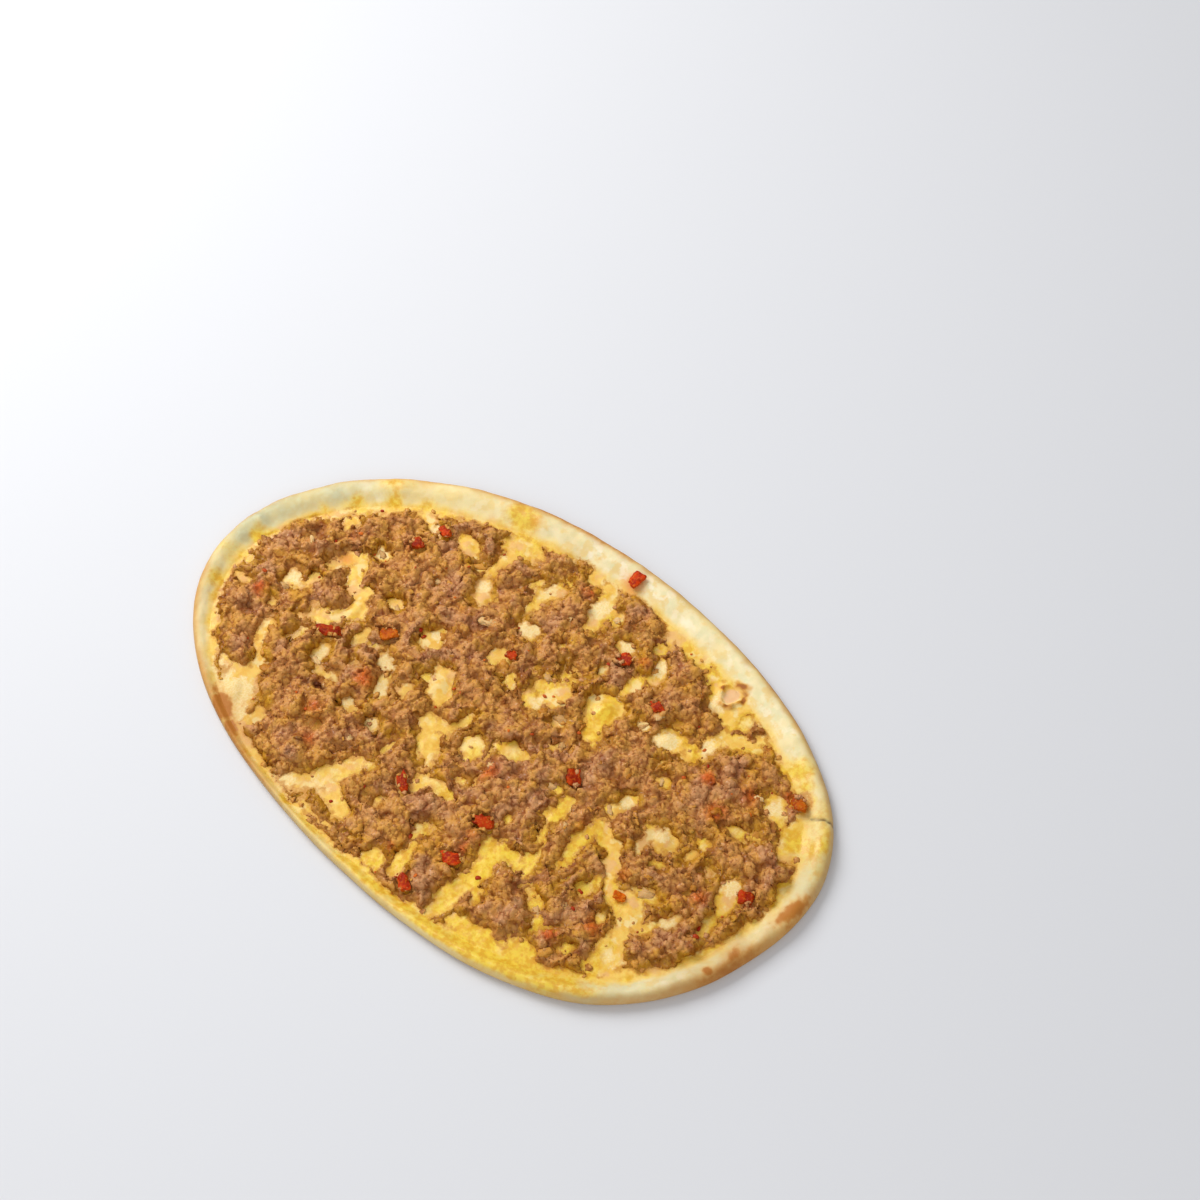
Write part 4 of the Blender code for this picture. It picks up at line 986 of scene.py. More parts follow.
# the pieces of pepper, as in the CAD: x, y, length, width, thickness, turn, colour
peppers = {
    1: (-73, 44, 6, 5, 3, 20, "red"), 2: (-78, 33, 5.4, 4.6, 2.8, -30, "red"),
    3: (0, 79, 6.6, 5, 3, 75, "red"), 4: (21, 49, 6.4, 5.4, 3, 15, "red"),
    5: (44, 41, 6, 4.6, 2.8, -25, "red"), 6: (-56, -5, 6.8, 5.6, 3.2, 50, "orange"),
    7: (-75, -20, 10.5, 4.4, 2.8, 28, "red"), 8: (41, -3, 7, 5.6, 3, -50, "red"),
    9: (28, -39, 8.6, 5.6, 3, 12, "red"), 10: (29, -58, 7.6, 5.6, 3, 30, "red"),
    11: (22.5, -76.5, 7.4, 4.4, 2.8, -38, "red"), 12: (-6, -48, 8.6, 3.8, 2.8, -32, "red"),
    13: (120.5, 3.5, 6.2, 5.4, 3.2, 40, "red"), 14: (-13.5, 20.5, 5.4, 3.8, 2.6, 10, "red"),
    15: (111, 46, 6.6, 5, 3, -50, "orange"), 16: (85.5, -27, 4.8, 4, 2.4, 10, "orange"),
}
rimPepper = 3
barePeppers = (3, 16)


def pepperTop(number):
    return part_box("pepper_%02d" % number)[1].z / mm


def pepperShare(points, number, margin):
    # 0 in the middle of a piece of pepper, 1 on its edge with this margin
    x, y, length, width, _, turn, _ = peppers[number]
    return ellipseShare(points, x, y, length / 2.0 + margin, width / 2.0 + margin, turn)


def cellsOf(places, size, seed):
    # for each place: how far its lump's middle is, how much farther the next lump's is, the lump's
    # own random share, and how far its top leans up or down here
    rng = np.random.default_rng(seed)
    low = np.array([cadLow.x / mm, cadLow.y / mm, 2.0]) - 2.0 * size
    high = np.array([cadHigh.x, cadHigh.y, cadHigh.z]) / mm + 2.0 * size
    counts = ((high - low) / size).astype(int) + 1
    grid = np.stack(np.meshgrid(*[np.arange(count) for count in counts], indexing="ij"), 3).reshape(-1, 3)
    middles = low + (grid + rng.uniform(0.0, 1.0, grid.shape)) * size
    tree = kdtree.KDTree(len(middles))
    for index, middle in enumerate(middles):
        tree.insert(middle, index)
    tree.balance()
    bent = np.array(places, float)
    bent[:, 0] += minceLook["uneven"] * size * noiseAt(places[:, :2], 0.9 / size, seed + 0.3)
    bent[:, 1] += minceLook["uneven"] * size * noiseAt(places[:, :2], 0.9 / size, seed + 9.7)
    found = [tree.find_n(place, 2) for place in bent]
    own = [near[0][1] for near in found]
    first = np.array([near[0][2] for near in found]) / size
    gap = np.array([near[1][2] - near[0][2] for near in found]) / size
    chance = rng.uniform(0.0, 1.0, len(middles))[own]
    lean = ((bent - middles[own]) * rng.uniform(-1.0, 1.0, middles.shape)[own]).sum(1)
    return first, gap, chance, lean


def heapRelief(places):
    # granules on clumps, in millimetres, with the granules' tones and the creases between them, where
    # painted shade goes
    look = minceLook
    _, wideGap, wideChance, wideLean = cellsOf(places, look["clump"], 11)
    far, lumpGap, lumpChance, lumpLean = cellsOf(places, look["lump"], 14)
    first, gap, chance, lean = cellsOf(places, look["granule"], 12)
    small, _, smallChance, smallLean = cellsOf(places, look["grain"], 13)
    relief = look["clumpHeight"] * (smoothStep(wideGap, 0.0, 0.5) * (0.5 + 0.8 * wideChance) - 0.55)
    relief += look["lumpHeight"] * (smoothStep(lumpGap, 0.0, 0.45) * (0.4 + 0.9 * lumpChance) - 0.5)
    pit = smoothStep(far, 0.52, 0.82)
    relief += look["lumpLean"] * lumpLean - look["pitDepth"] * pit
    relief += look["clumpLean"] * wideLean + look["granuleLean"] * lean + look["grainLean"] * smallLean
    humps = (1.0 - 1.2 * first ** 2) * (0.35 + 1.0 * chance)
    relief += look["granuleHeight"] * (humps * 0.6 + 0.4 * smoothStep(gap, 0.0, 0.3) - 0.5)
    relief += look["grainHeight"] * ((1.0 - 1.2 * small ** 2) * (0.3 + smallChance) - 0.4)
    # creases between granules and clumps, and the pits, for painted shade
    crease = (1.0 - smoothStep(gap, 0.0, 0.22)) * smoothStep(chance, 0.2, 0.9)
    crease = np.maximum(np.maximum(0.7 * crease, 0.8 * (1.0 - smoothStep(wideGap, 0.0, 0.16))), 0.9 * pit)
    tone = 0.45 * chance + 0.2 * smallChance + 0.35 * lumpChance
    return relief, tone, crease


def heapHeights(spots, away):
    # the heap's soft form at flat points, without its granules
    look = minceLook
    shoulder = look["edgeRound"] * (1.0 + look["edgeVaries"] * noiseAt(spots, 0.12, 61.0))
    edge = np.clip(-away / shoulder, 0.0, 1.0)
    edge = np.sqrt(1.0 - (1.0 - edge) ** 2)
    foot = breadLook["field"] - look["footSunk"]
    heights = minceMap.read(minceMap.heights, spots) - look["sink"]
    heights += layeredNoise(spots, look["hill"])
    dips = minceMap.read(minceMap.dips, spots)
    edge *= 1.0 - look["dip"] * np.exp(-(np.maximum(dips, 0.0) / look["dipReach"]) ** 2)
    heights = foot + (heights - foot) * edge
    for number in peppers:
        share = pepperShare(spots, number, 0.0)
        dent = pepperTop(number) - look["pepperDent"] + np.maximum(share - 1.0, 0.0) * look["pepperSlope"]
        heights = np.where(share < look["pepperNear"], np.minimum(heights, dent), heights)
    skirt = smoothStep(away, 0.0, 0.45)
    heights = heights * (1.0 - skirt) + look["skirtLevel"] * skirt
    return np.maximum(heights, look["skirtLevel"])


def normalsOf(points, faces):
    # each point's outward direction
    across = np.cross(points[faces[:, 1]] - points[faces[:, 0]], points[faces[:, 2]] - points[faces[:, 0]])
    found = np.zeros_like(points)
    for corner in range(3):
        np.add.at(found, faces[:, corner], across)
    return found / np.maximum(np.linalg.norm(found, axis=1), 1e-9)[:, None]


def heapGrid(step):
    # a grid of triangles over the bread, kept where there is mince: flat points, edge distances, faces
    rise = step * math.sqrt(0.75)
    size = np.array([cadHigh.x - cadLow.x, cadHigh.y - cadLow.y]) / mm
    columns, rows = int(size[0] / step), int(size[1] / rise)
    row, column = np.meshgrid(np.arange(rows), np.arange(columns), indexing="ij")
    spots = np.stack([column * step + 0.5 * step * (row % 2), row * rise], 2).reshape(-1, 2) + minceMap.low
    away = minceMap.away(spots)
    corner = (row * columns + column)[:-1, :-1].ravel()
    odd = (row % 2)[:-1, :-1].ravel().astype(bool)
    low, right, up, both = corner, corner + 1, corner + columns, corner + columns + 1
    faces = np.concatenate([
        np.stack([low, right, np.where(odd, both, up)], 1),
        np.stack([np.where(odd, low, right), both, up], 1),
    ])
    faces = faces[(away[faces] < minceLook["skirt"]).all(1)]
    used = np.unique(faces)
    place = np.full(len(spots), -1)
    place[used] = np.arange(len(used))
    return spots[used], away[used], place[faces]


def closeBelow(places, faces):
    # levels a skin's border and closes the skin below
    ends = dict.fromkeys((face[corner], face[(corner + 1) % 3]) for face in faces for corner in range(3))
    border = [pair for pair in ends if (pair[1], pair[0]) not in ends]
    rimSpots = sorted({corner for pair in border for corner in pair})
    order = {corner: index for index, corner in enumerate(rimSpots)}
    places[rimSpots, 2] = minceLook["skirtLevel"]
    flat = [Vector(places[corner, :2]) for corner in rimSpots]
    edges = [(order[here], order[there]) for here, there in border]
    _, _, triangles, origins, *_ = geometry.delaunay_2d_cdt(flat, edges, [], 2, 0.00001)
    return [tuple(rimSpots[origins[corner][0]] for corner in reversed(face)) for face in triangles]


def makeHeap(material):
    # the heap as one skin over the dough; its skirt dips into the dough, and it is closed below
    look = minceLook
    spots, away, faces = heapGrid(look["step"])
    places = np.column_stack([spots, heapHeights(spots, away)])
    relief, tone, crease = heapRelief(places)
    places += normalsOf(places, faces) * (relief * smoothStep(-away, 0.0, 1.0))[:, None]
    places[:, 2] = np.maximum(places[:, 2], look["skirtLevel"])
    below = closeBelow(places, faces)
    mesh = meshFrom("minceCore", (places * mm).tolist(), faces.tolist() + below, material)

    inside = np.minimum(away, 0.0)
    reach = 2.4 * (1.0 + 0.8 * noiseAt(spots, 0.13, 77.0))
    for name, values in {
        "tone": tone,
        # creases and pits, for painted shade
        "crease": crease,
        # how near the heap's edge, for painted shade there
        "edge": np.exp(-((inside / 1.6) ** 2)),
        "juice": spotStrength(spots, look["juice"], 71.0),
        "gold": np.exp(-((inside / reach) ** 2)) * smoothStep(noiseAt(spots, 0.08, 79.0), -0.3, 0.2),
        # the darkest gaps, for painted shadow
        "dark": spotStrength(spots, look["dark"], 73.0),
    }.items():
        storeValues(mesh, name, values)

    # crumbs go on the faces that are open, away from the edge and the pepper
    openSpots = away < look["openFrom"]
    for number in peppers:
        openSpots &= pepperShare(spots, number, look["overPepper"]) > 1.0
    marks = np.concatenate([openSpots[faces].all(1), np.zeros(len(below), bool)])
    layer = mesh.attributes.new("open", "FLOAT", "FACE")
    layer.data.foreach_set("value", marks.astype(np.float32))
    return mesh


def crumbShape(name, faces, seed):
    # an uneven lump of about radius 1 with few faces
    rng = random.Random(seed)
    shape = bmesh.new()
    bmesh.ops.create_icosphere(shape, subdivisions=3, radius=1.0)
    squeeze = Vector((1.15, rng.uniform(0.7, 1.0), rng.uniform(0.55, 0.85)))
    offset = Vector((rng.uniform(0.0, 50.0), rng.uniform(0.0, 50.0), 0.0))
    for vert in shape.verts:
        push = 1.0 + 0.7 * noise.noise(vert.co * 1.2 + offset) + 0.45 * noise.noise(vert.co * 2.8 + offset)
        vert.co = Vector((vert.co.x * squeeze.x, vert.co.y * squeeze.y, vert.co.z * squeeze.z)) * push
    mesh = bpy.data.meshes.new(name)
    shape.to_mesh(mesh)
    shape.free()
    lump = bpy.data.objects.new(name, mesh)
    bpy.context.scene.collection.objects.link(lump)
    thinning = lump.modifiers.new("Thinning", "DECIMATE")
    thinning.ratio = faces / len(mesh.polygons)
    return bpy.data.objects.new(name, plainMesh(lump, name))


def shapeCollection(name, faces, seed):
    # the crumbs' different shapes, for the scatter to pick from
    held = bpy.data.collections.new(name)
    bpy.context.scene.collection.children.link(held)
    for index in range(minceLook["shapes"]):
        held.objects.link(crumbShape("%s%d" % (name, index), faces, seed * 100 + index))
    return held


def dropCollection(held):
    for obj in list(held.objects):
        bpy.data.objects.remove(obj, do_unlink=True)
    bpy.data.collections.remove(held)


def newTree(name, inputs):
    # a geometry tree with named inputs after its first, the geometry
    tree = bpy.data.node_groups.new(name, "GeometryNodeTree")
    tree.interface.new_socket(name="Geometry", in_out="INPUT", socket_type="NodeSocketGeometry")
    for label, kind in inputs:
        tree.interface.new_socket(name=label, in_out="INPUT", socket_type=kind)
    tree.interface.new_socket(name="Geometry", in_out="OUTPUT", socket_type="NodeSocketGeometry")
    graph = Graph(tree)
    return tree, graph, graph.add("NodeGroupInput"), graph.add("NodeGroupOutput")


def setInputs(modifier, values):
    # a modifier's inputs go by their sockets' identifiers
    for item in modifier.node_group.interface.items_tree:
        if item.item_type == "SOCKET" and item.in_out == "INPUT" and item.name in values:
            modifier[item.identifier] = values[item.name]


def crumbTree():
    # crumbs scattered on the open faces of a heap, turned and sized at random
    tree, graph, given, result = newTree("scatterCrumbs", (
        ("Shapes", "NodeSocketCollection"), ("Spacing", "NodeSocketFloat"), ("Smallest", "NodeSocketFloat"),
        ("Largest", "NodeSocketFloat"), ("Sink", "NodeSocketFloat"), ("Seed", "NodeSocketInt"),
        ("Finish", "NodeSocketMaterial"),
    ))
    seed = graph.wire(given, "Seed")
    openFaces = graph.add("GeometryNodeInputNamedAttribute", {"data_type": "FLOAT"}, {"Name": "open"})
    openFaces = graph.wire(openFaces)
    points = graph.add("GeometryNodeDistributePointsOnFaces", {"distribute_method": "POISSON"}, {
        "Mesh": graph.wire(given, "Geometry"), "Distance Min": graph.wire(given, "Spacing"),
        "Density Max": 2000000.0, "Density Factor": openFaces, "Seed": seed,
    })
    down = graph.wire(graph.add("ShaderNodeVectorMath", {"operation": "SCALE"}, {
        0: graph.wire(points, "Normal"), "Scale": 0.0 - graph.wire(given, "Sink"),
    }))
    moved = graph.add(
        "GeometryNodeSetPosition", None, {"Geometry": graph.wire(points, "Points"), "Offset": down})
    shapes = graph.add("GeometryNodeCollectionInfo", {"transform_space": "ORIGINAL"}, {
        "Collection": graph.wire(given, "Shapes"), "Separate Children": True, "Reset Children": True,
    })
    pick = graph.add("FunctionNodeRandomValue", {"data_type": "INT"}, {
        4: 0, 5: minceLook["shapes"] - 1, "Seed": seed + 1.0,
    })
    turned = graph.add("FunctionNodeRandomValue", {"data_type": "FLOAT_VECTOR"}, {
        0: (0.0, 0.0, 0.0), 1: (fullTurn, fullTurn, fullTurn), "Seed": seed + 2.0,
    })
    size = graph.add("FunctionNodeRandomValue", {"data_type": "FLOAT"}, {
        2: graph.wire(given, "Smallest"), 3: graph.wire(given, "Largest"), "Seed": seed + 3.0,
    })
    placed = graph.add("GeometryNodeInstanceOnPoints", None, {
        "Points": graph.wire(moved), "Instance": graph.wire(shapes), "Pick Instance": True,
        "Instance Index": graph.wire(pick, 2), "Rotation": graph.wire(turned, 0),
        "Scale": graph.wire(size, 1),
    })
    tone = graph.add("FunctionNodeRandomValue", {"data_type": "FLOAT"}, {2: 0.0, 3: 1.0, "Seed": seed + 4.0})
    toned = graph.add("GeometryNodeStoreNamedAttribute", {"data_type": "FLOAT", "domain": "INSTANCE"}, {
        "Geometry": graph.wire(placed), "Name": "tone", "Value": graph.wire(tone, 1),
    })
    joined = graph.add("GeometryNodeRealizeInstances", None, {"Geometry": graph.wire(toned)})
    smooth = graph.add("GeometryNodeSetShadeSmooth", None, {"Geometry": graph.wire(joined)})
    finished = graph.add("GeometryNodeSetMaterial", None, {
        "Geometry": graph.wire(smooth), "Material": graph.wire(given, "Finish"),
    })
    graph.tree.links.new(finished.outputs[0], result.inputs[0])
    return tree


def holdInside(mesh, floorLevel):
    # no crumb sticks out of the heap's own height, or through the dough
    places = np.zeros(len(mesh.vertices) * 3, np.float32)
    mesh.vertices.foreach_get("co", places)
    places[2::3] = np.clip(places[2::3], floorLevel * mm, cadHigh.z - minceLook["under"] * mm)
    mesh.vertices.foreach_set("co", places)
    mesh.update()


def makeMince(coreMaterial, crumbMaterial):
    heap = makeHeap(coreMaterial)
    holdInside(heap, minceLook["coreFloor"])
    addPiece("minceCore", heap, ["mince"])
    report("mince core")
    tree = crumbTree()
    for name, spacing, smallest, largest, sink, faces, seed in minceLook["crumbs"]:
        shapes = shapeCollection(name + "Shape", faces, seed)
        ground = bpy.data.objects.new(name, heap.copy())
        bpy.context.scene.collection.objects.link(ground)
        scatter = ground.modifiers.new("Scatter", "NODES")
        scatter.node_group = tree
        setInputs(scatter, {
            "Shapes": shapes, "Spacing": spacing * mm, "Smallest": smallest * mm, "Largest": largest * mm,
            "Sink": sink * mm, "Seed": seed, "Finish": crumbMaterial,
        })
        mesh = plainMesh(ground, name)
        holdInside(mesh, minceLook["crumbFloor"])
        addPiece(name, mesh, ["mince"])
        dropCollection(shapes)
        report(name)


def makeMinceMaterial(name):
    material, graph, shader = newMaterial(name)
    speck, fine, granule = graph.grain(0.75, 2.0, 0.6), graph.grain(2.2, 2.0), graph.cells(0.62)

    # brown meat, greyer and yellower in places, orange where pepper bled, golden where oil stands
    warm = graph.blend(graph.grain(0.13, 1.0).between(0.38, 0.62), shade(220, 160, 78), shade(218, 156, 94))
    warm = graph.blend(graph.grain(0.075, 2.0).between(0.50, 0.64) * 0.85, warm, shade(212, 155, 112))
    warm = graph.blend(graph.grain(0.09, 1.0).between(0.58, 0.72) * 0.5, warm, shade(226, 162, 40))
    juicy = (graph.attribute("juice") * (speck + 0.45)).between(0.1, 0.9)
    warm = graph.blend(juicy * 0.85, warm, shade(222, 96, 26))
    gold = (graph.attribute("gold") * (graph.grain(0.28, 1.0) * 1.5 + 0.1)).between(0.15, 0.9)
    warm = graph.blend(gold * 0.7, warm, shade(224, 170, 34))

    # each granule's own lightness
    broad = graph.grain(0.05, 2.0) - 0.5
    light = graph.attribute("tone") * 0.24 + (speck - 0.5) * 0.6 + broad * 0.3 + 0.49
    lightness = graph.ramp(light.between(-0.25, 1.2), (
        (0.0, shade(172, 138, 94)), (0.5, shade(234, 230, 212)), (1.0, shade(250, 250, 246)),
    ))
    colour = graph.blend(1.0, warm, lightness, "MULTIPLY")

    # painted shade between granules, at the edge and in creases, and painted shadow in a few dark gaps
    # painted shade in the pits between granules
    colour = graph.blend(granule.between(0.56, 0.80) * 0.6, colour, shade(128, 52, 0))
    # painted shade along the heap's edge
    edge = (graph.attribute("edge") * (speck + 0.35)).between(0.1, 1.0)
    colour = graph.blend(edge * 0.55, colour, shade(152, 96, 14))
    # painted shade in the creases
    colour = graph.blend(graph.attribute("crease").between(0.25, 1.0) * 0.62, colour, shade(120, 48, 0))
    # painted shadow in a few dark gaps
    dark = (graph.attribute("dark") * (speck + 0.5)).between(0.1, 0.9)
    colour = graph.blend(dark * 0.9, colour, shade(78, 26, 6))

    feed(graph, shader, "Base Color", colour)
    feed(graph, shader, "Roughness", 0.42 + (speck - 0.5) * 0.5)
    feed(graph, shader, "Normal", graph.bump(speck * 0.5 + fine * 0.15 - granule * 0.6, 0.8, 0.5))
    feed(graph, shader, "Coat Weight", graph.grain(0.9, 1.0).between(0.56, 0.66) * 0.35)
    shader.inputs["Coat Roughness"].default_value = 0.22
    soften(shader, 0.08, (1.0, 0.4, 0.2), 0.0008, 0.12)
    return material


makeMince(makeMinceMaterial("juicyMince"), makeMinceMaterial("minceCrumb"))


# pepper

pepperLook = {
    "rings": 11, "segments": 36, "corner": 0.88, "cornerVaries": (0.62, 1.22), "skew": 0.16,
    "uneven": 0.42, "lumpy": 0.6, "bend": 0.5,
    "thinner": 0.56, "lower": 0.4, "tilt": 12.0, "rimLean": 17.0,
    # how bright each piece is
    "ripe": {
        1: 0.8, 2: 0.2, 3: 1.0, 4: 0.8, 5: 0.5, 6: 0.2, 7: 0.0, 8: 0.3, 9: 0.4, 10: 0.9, 11: 0.8, 12: 0.5,
        13: 0.4, 14: 0.3, 15: 0.1, 16: 1.0,
    },
}


def softSlab(length, width, thickness, rng, look):
    # a cut piece round the origin: four soft uneven corners, a rounded edge, a slight bend
    rings, segments = look["rings"], look["segments"]
    offset = Vector((rng.uniform(0.0, 90.0), rng.uniform(0.0, 90.0), rng.uniform(0.0, 90.0)))
    corners = [look["corner"] * rng.uniform(*look["cornerVaries"]) for _ in range(4)]
    bend = look["bend"] * rng.uniform(-0.4, 1.0)
    skew = rng.uniform(-look["skew"], look["skew"])
    points, skin = [], []
    for ring in range(rings + 1):
        t = math.pi * ring / rings
        out = math.sin(t) ** 0.5 if 0 < ring < rings else 0.0
        lift = math.copysign(abs(math.cos(t)) ** 0.6, math.cos(t))
        count = 1 if ring in (0, rings) else segments
        for step in range(count):
            way = 2.0 * math.pi * step / segments
            side = max(abs(math.cos(way)), abs(math.sin(way)))
            quarter = int(way / (0.5 * math.pi)) % 4
            cornered = max(0.0, 1.0 - side) / (1.0 - math.sqrt(0.5))
            radius = (1.0 - cornered + cornered * corners[quarter] * math.sqrt(2.0)) * out
            u, v = radius * math.cos(way), radius * math.sin(way)
            u += skew * v
            place = Vector((u * length / 2.0, v * width / 2.0, lift * thickness / 2.0))
            rough = place * 0.42 + offset
            across = noise.noise(rough) + 0.4 * noise.noise(rough * 2.6)
            along = noise.noise(rough + Vector((31.0, 0.0, 0.0))) + 0.4 * noise.noise(rough * 2.9)
            upwards = noise.noise(rough * 1.6) * 0.7 + 0.5 * noise.noise(rough * 3.4)
            place.x *= 1.0 + look["uneven"] * across
            place.y *= 1.0 + look["uneven"] * along
            place.z += look["lumpy"] * upwards * (0.4 + 0.6 * out)
            place.z += bend * (0.5 - u * u)
            points.append(place)
            skin.append(min(max(0.5 + 1.6 * (lift - 0.25), 0.0), 1.0))
    faces = []
    for step in range(segments):
        after = (step + 1) % segments
        faces.append((0, 1 + step, 1 + after))
        last = 1 + (rings - 2) * segments
        faces.append((last + after, last + step, len(points) - 1))
        for ring in range(rings - 2):
            low, high = 1 + ring * segments, 1 + (ring + 1) * segments
            faces.append((low + step, high + step, high + after, low + after))
    return points, faces, skin


def makePeppers(colour, material):
    # all pieces of one colour as one mesh, each in its CAD node's place
    look = pepperLook
    points, faces, skin, ripe, nodes = [], [], [], [], []
    for number, (x, y, length, width, thickness, turn, kind) in peppers.items():
        if kind != colour:
            continue
        node = "pepper_%02d" % number
        nodes.append(node)
        low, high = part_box(node)
        rng = random.Random(number * 7)
        thickness *= look["thinner"]
        found = softSlab(length, width, thickness, rng, look)
        spin = Matrix.Rotation(math.radians(turn), 3, "Z")
        if number == rimPepper:
            spin = spin @ Matrix.Rotation(math.radians(-look["rimLean"]), 3, "Y")
        else:
            spin = spin @ Matrix.Rotation(math.radians(rng.uniform(-1.0, 1.0) * look["tilt"]), 3, "X")
            spin = spin @ Matrix.Rotation(math.radians(rng.uniform(-1.0, 1.0) * look["tilt"]), 3, "Y")
        turned = [spin @ point for point in found[0]]
        middle = Vector((x, y, (low.z + high.z) / 2.0 / mm - look["lower"]))
        start = len(points)
        points += [(point + middle) * mm for point in turned]
        faces += [tuple(start + corner for corner in face) for face in found[1]]
        skin += found[2]
        ripe += [look["ripe"][number]] * len(turned)
    mesh = meshFrom(colour + "Pepper", points, faces, material)
    storeValues(mesh, "skin", skin)
    storeValues(mesh, "ripe", ripe)
    addPiece(colour + "Pepper", mesh, nodes)


def makePepperMaterial(name, skinDark, skinBright, flesh):
    material, graph, shader = newMaterial(name)
    patch = graph.grain(0.34, 3.0)
    fine = graph.grain(1.1, 3.0, 0.6)
    skinTone = graph.blend(patch.between(0.40, 0.60), skinDark, skinBright)
    skinTone = graph.blend(fine.between(0.50, 0.66) * 0.8, skinTone, flesh)
    fleshTone = graph.blend(fine.between(0.3, 0.7), flesh, skinBright)
    colour = graph.blend(graph.attribute("skin"), fleshTone, skinTone)
    ripeness = graph.blend(graph.attribute("ripe"), shade(216, 216, 216), shade(255, 255, 255))
    colour = graph.blend(1.0, colour, ripeness, "MULTIPLY")
    feed(graph, shader, "Base Color", colour)
    feed(graph, shader, "Roughness", 0.32 + patch * 0.3)
    feed(graph, shader, "Normal", graph.bump(patch * 0.5 + fine * 0.5, 0.9, 0.7))
    soften(shader, 0.2, (1.0, 0.25, 0.1), 0.0012, 0.1)
    return material


# the smaller bits that lie on and round the mince

bitsLook = {
    # x, y, length of the pale bits of onion and fat that show
    "onion": (
        (-86, 20.5, 4), (-70, -32, 4.6), (19, 13, 6.4), (3, 23.5, 4.6), (59, -3, 4), (92, -20, 6),
        (6, 61, 4), (45, 32, 3.6), (-104, -17, 4.6), (36, -10, 5), (-31, 25, 7), (-60, 27, 4.6),
        (66, 19, 3.4), (-63, 6, 4.2), (27, 5, 3.8), (14, -20, 3.6), (98, 38, 3.4), (48, 38, 4),
        (52, -20, 3.4), (73, -44, 3.6), (-35, -48, 3.4), (-110, 5, 3.4), (66, -51, 4), (30, 35, 3),
        (-8, 48, 3.4),
    ),
    # the same of golden ones
    "golden": (
        (-80, -48, 6.6), (-88, -42, 5.2), (-92, -34, 5), (80, -61.5, 5.4), (19.5, -60, 5.4), (14, -59, 4),
        (13, 10, 4.6), (-14, 16, 6), (-52, 43, 6), (-6, -72, 5), (-50, -30, 3.6), (90, 22, 5),
        (107, 26, 4.6), (-40, 9, 4.4), (3, -60, 4),
    ),
    "bitShare": 0.42, "onionSunk": 0.05, "goldenSunk": 0.08, "seed": 21,
    # chunks and crumbs: triangles of one, how flat, first seed
    "chunks": (110, 0.45, 950), "crumbs": (34, 0.6, 900), "shapes": 8,
    # bits that lie at random: how many, seed, smallest size, how much larger they get
    "specks": (110, 44, 0.55, 0.85), "looseCrumbs": (240, 41, 0.4, 0.95), "flecks": (60, 43, 0.9, 1.5),
    "within": (137.0, 85.0), "triesEach": 60,
    # how many crumbs lie against each piece of pepper
    "against": 5,
    "fleckSize": (1.0, 0.8, 0.3), "fleckShapes": 5,
    "fleckForm": {"rings": 4, "segments": 10, "lumpy": 0.06, "bend": 0.1},
}


def doughLevel(points):
    # the bread's top at flat points
    flat = np.asarray(points, float)
    edge = breadEdge()
    column, inset, _ = nearEdge(edge, flat)
    share = np.clip(-inset / edge["widths"][column], 0.0, 0.66)
    rise = (edge["heights"][column] - breadLook["field"]) * smoothStep(share, 0.0, 0.66)
    fade = smoothStep(inset, 0.0, 3.0)
    return breadLook["field"] + rise + fade * fieldRelief(flat)


def topLevel(points):
    # the mince's skin where there is mince, else the dough's
    away = minceMap.away(points)
    heap = heapHeights(np.asarray(points, float), away)
    relief = heapRelief(np.column_stack([points, heap]))[0]
    return np.where(away < -0.3, heap + relief * smoothStep(-away, 0.0, 1.0), doughLevel(points))


def joinBits(name, spots, shapes, scales, levels, rng, material):
    # copies of a few shapes, turned at random, as one mesh
    points, faces, tones = [], [], []
    for (x, y), scale, level in zip(spots, scales, levels):
        shape = shapes[rng.randrange(len(shapes))]
        spin = Matrix.Rotation(rng.uniform(0.0, fullTurn), 3, "Z")
        spin = spin @ Matrix.Rotation(rng.uniform(-0.35, 0.35), 3, "X")
        start = len(points)
        points += [(spin @ (point * scale) + Vector((x, y, level))) * mm for point in shape[0]]
        faces += [tuple(start + corner for corner in face) for face in shape[1]]
        tones += [rng.uniform(0.0, 1.0)] * len(shape[0])
    mesh = meshFrom(name, points, faces, material)
    storeValues(mesh, "tone", tones)
    addPiece(name, mesh)


def lumpShapes(faces, flatness, seed):
    # a few uneven lumps, pressed flat, as lists of points and faces
    found = []
    for index in range(bitsLook["shapes"]):
        lump = crumbShape("lump%d" % index, faces, seed + index)
        points = [Vector((vert.co.x, vert.co.y, flatness * vert.co.z)) for vert in lump.data.vertices]
        found.append((points, [tuple(face.vertices) for face in lump.data.polygons]))
        bpy.data.objects.remove(lump, do_unlink=True)
    return found


def scattered(kind, rng, allowed):
    # places for one kind of bit, at random where the distance from the mince allows it, and their sizes
    count, seed, smallest, larger = bitsLook[kind]
    halfLength, halfWidth = bitsLook["within"]
    tries = count * bitsLook["triesEach"]
    draw = np.random.default_rng(seed).uniform
    spots = np.column_stack([
        draw(-halfLength, halfLength, tries), draw(-halfWidth, halfWidth, tries),
    ])
    spots = spots[allowed(minceMap.away(spots), draw(0.0, 1.0, tries), spots)][:count]
    return spots, [smallest + larger * rng.random() ** 2 for _ in spots]


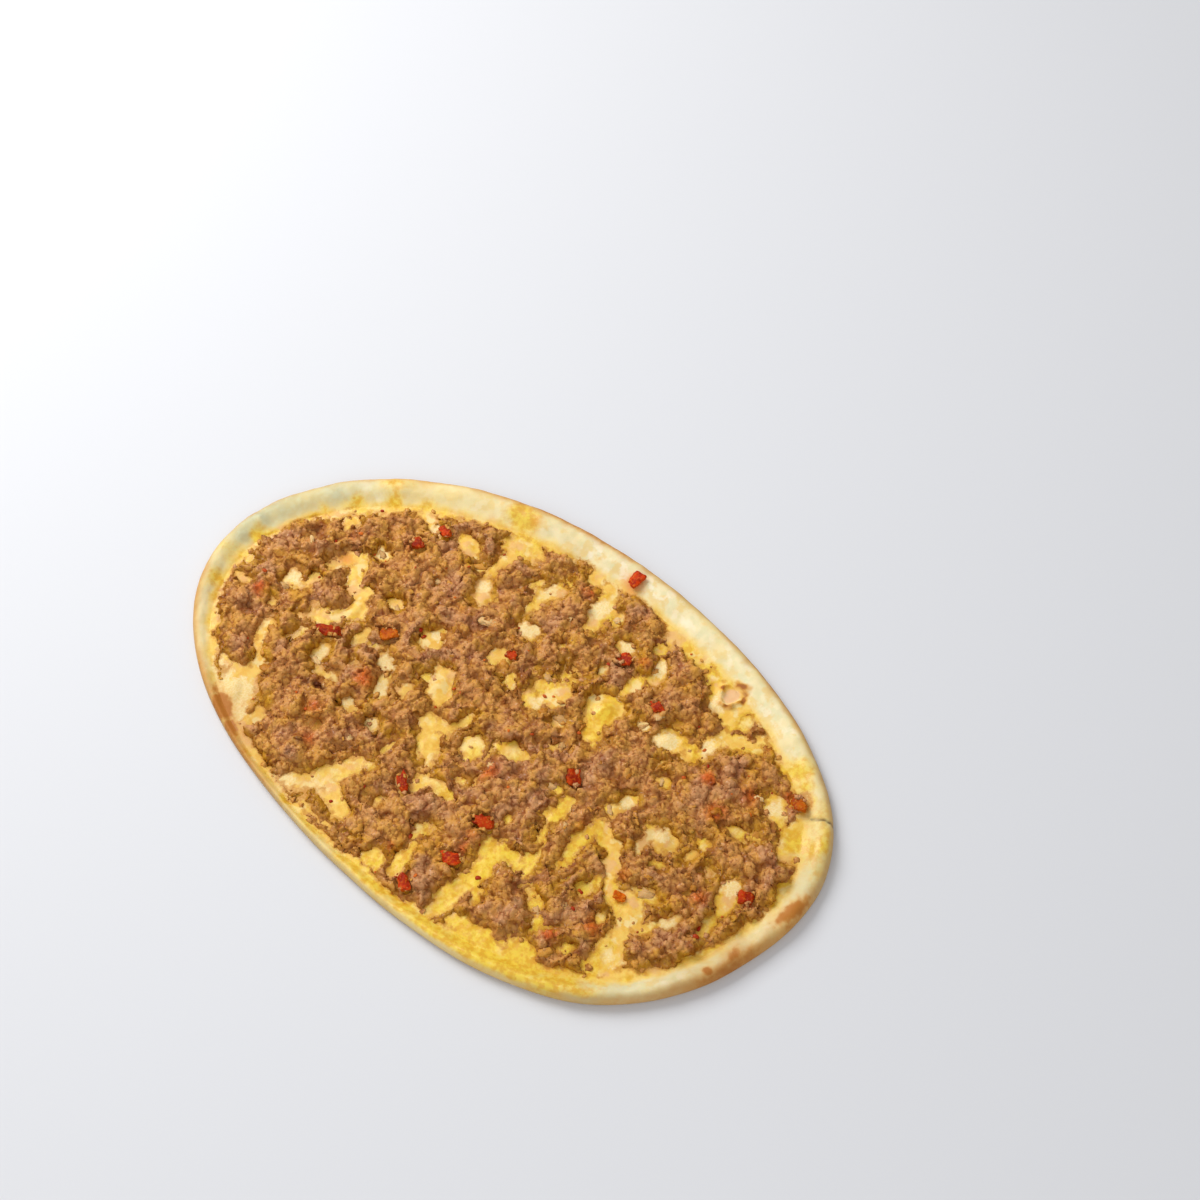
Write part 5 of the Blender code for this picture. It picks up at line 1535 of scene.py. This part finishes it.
def crumbsByPepper(rng):
    # places, sizes and levels of crumbs that lie against the pieces of pepper in the mince
    spots, sizes, levels = [], [], []
    for number, (x, y, length, width, _, turn, _) in peppers.items():
        if number in barePeppers:
            continue
        for _ in range(bitsLook["against"]):
            way = rng.uniform(0.0, fullTurn)
            reach = rng.uniform(0.36, 0.58)
            side = Vector((math.cos(way) * length * reach, math.sin(way) * width * reach))
            side = Matrix.Rotation(math.radians(turn), 2) @ side
            spots.append((x + side.x, y + side.y))
            sizes.append(rng.uniform(0.5, 1.0))
            levels.append(pepperTop(number) - rng.uniform(0.9, 1.5))
    return spots, sizes, levels


def makeBits(paleMaterial, goldenMaterial, crumbMaterial, fleckMaterial):
    look = bitsLook
    rng = random.Random(look["seed"])
    edge = breadEdge()
    chunks, crumbs = lumpShapes(*look["chunks"]), lumpShapes(*look["crumbs"])
    for name, material in (("onion", paleMaterial), ("golden", goldenMaterial)):
        spots = np.array([bit[:2] for bit in look[name]], float)
        sizes = [bit[2] * look["bitShare"] for bit in look[name]]
        levels = topLevel(spots) - look[name + "Sunk"] * np.array(sizes)
        joinBits(name + "Bits", spots, chunks, sizes, levels, rng, material)

    # specks of onion in the mince
    spots, sizes = scattered("specks", rng, lambda away, chance, spots: (away < -0.6) & (chance < 0.3))
    levels = topLevel(spots) - 0.1 * np.array(sizes)
    joinBits("onionSpecks", spots, chunks, sizes, levels, rng, goldenMaterial)

    # loose crumbs on the bare dough, most of them near the mince, and by the pepper
    spots, sizes = scattered("looseCrumbs", rng, lambda away, chance, spots: (
        (away > -0.3) & (away < 5.0) & (chance < np.exp(-away / 0.9)) & (nearEdge(edge, spots)[1] > 0.5)))
    levels = doughLevel(spots) + 0.05 * np.array(sizes)
    more = crumbsByPepper(rng)
    spots, sizes, levels = np.vstack([spots, more[0]]), sizes + more[1], np.append(levels, more[2])
    joinBits("looseCrumbs", spots, crumbs, sizes, levels, rng, crumbMaterial)

    # thin flecks of pepper
    form = {**pepperLook, **look["fleckForm"]}
    thin = [softSlab(*look["fleckSize"], rng, form)[:2] for _ in range(look["fleckShapes"])]
    spots, sizes = scattered("flecks", rng, lambda away, chance, spots: (
        (away < 3.0) & (chance < np.where(away < 0.0, 0.1, 0.3)) & (nearEdge(edge, spots)[1] > 1.0)))
    levels = topLevel(spots) + np.where(minceMap.away(spots) < -0.3, 0.45, 0.1)
    joinBits("pepperFlecks", spots, thin, sizes, levels, rng, fleckMaterial)


redFinish = makePepperMaterial("redPepper", shade(158, 34, 0), shade(206, 62, 4), shade(210, 104, 24))
orangeFinish = makePepperMaterial("orangePepper", shade(184, 74, 0), shade(218, 104, 2), shade(224, 140, 36))
makePeppers("red", redFinish)
makePeppers("orange", orangeFinish)
report("pepper")


def makeBitMaterial(name, dark, light, roughness, soft):
    material, graph, shader = newMaterial(name)
    fine = graph.grain(1.1, 2.0)
    colour = graph.blend((graph.attribute("tone") * 0.6 + fine * 0.5).between(0.2, 0.9), dark, light)
    feed(graph, shader, "Base Color", colour)
    feed(graph, shader, "Roughness", roughness + fine * 0.2)
    feed(graph, shader, "Normal", graph.bump(fine, 0.5, 0.3))
    soften(shader, soft, (1.0, 0.6, 0.3), 0.001, 0.15)
    return material


makeBits(
    makeBitMaterial("paleOnion", shade(196, 150, 90), shade(228, 188, 128), 0.4, 0.3),
    makeBitMaterial("goldenOnion", shade(176, 110, 30), shade(206, 146, 60), 0.34, 0.2),
    bpy.data.materials["minceCrumb"],
    makeBitMaterial("pepperFleck", shade(160, 40, 6), shade(214, 110, 30), 0.3, 0.1),
)
report("bits")

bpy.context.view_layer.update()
report("done")
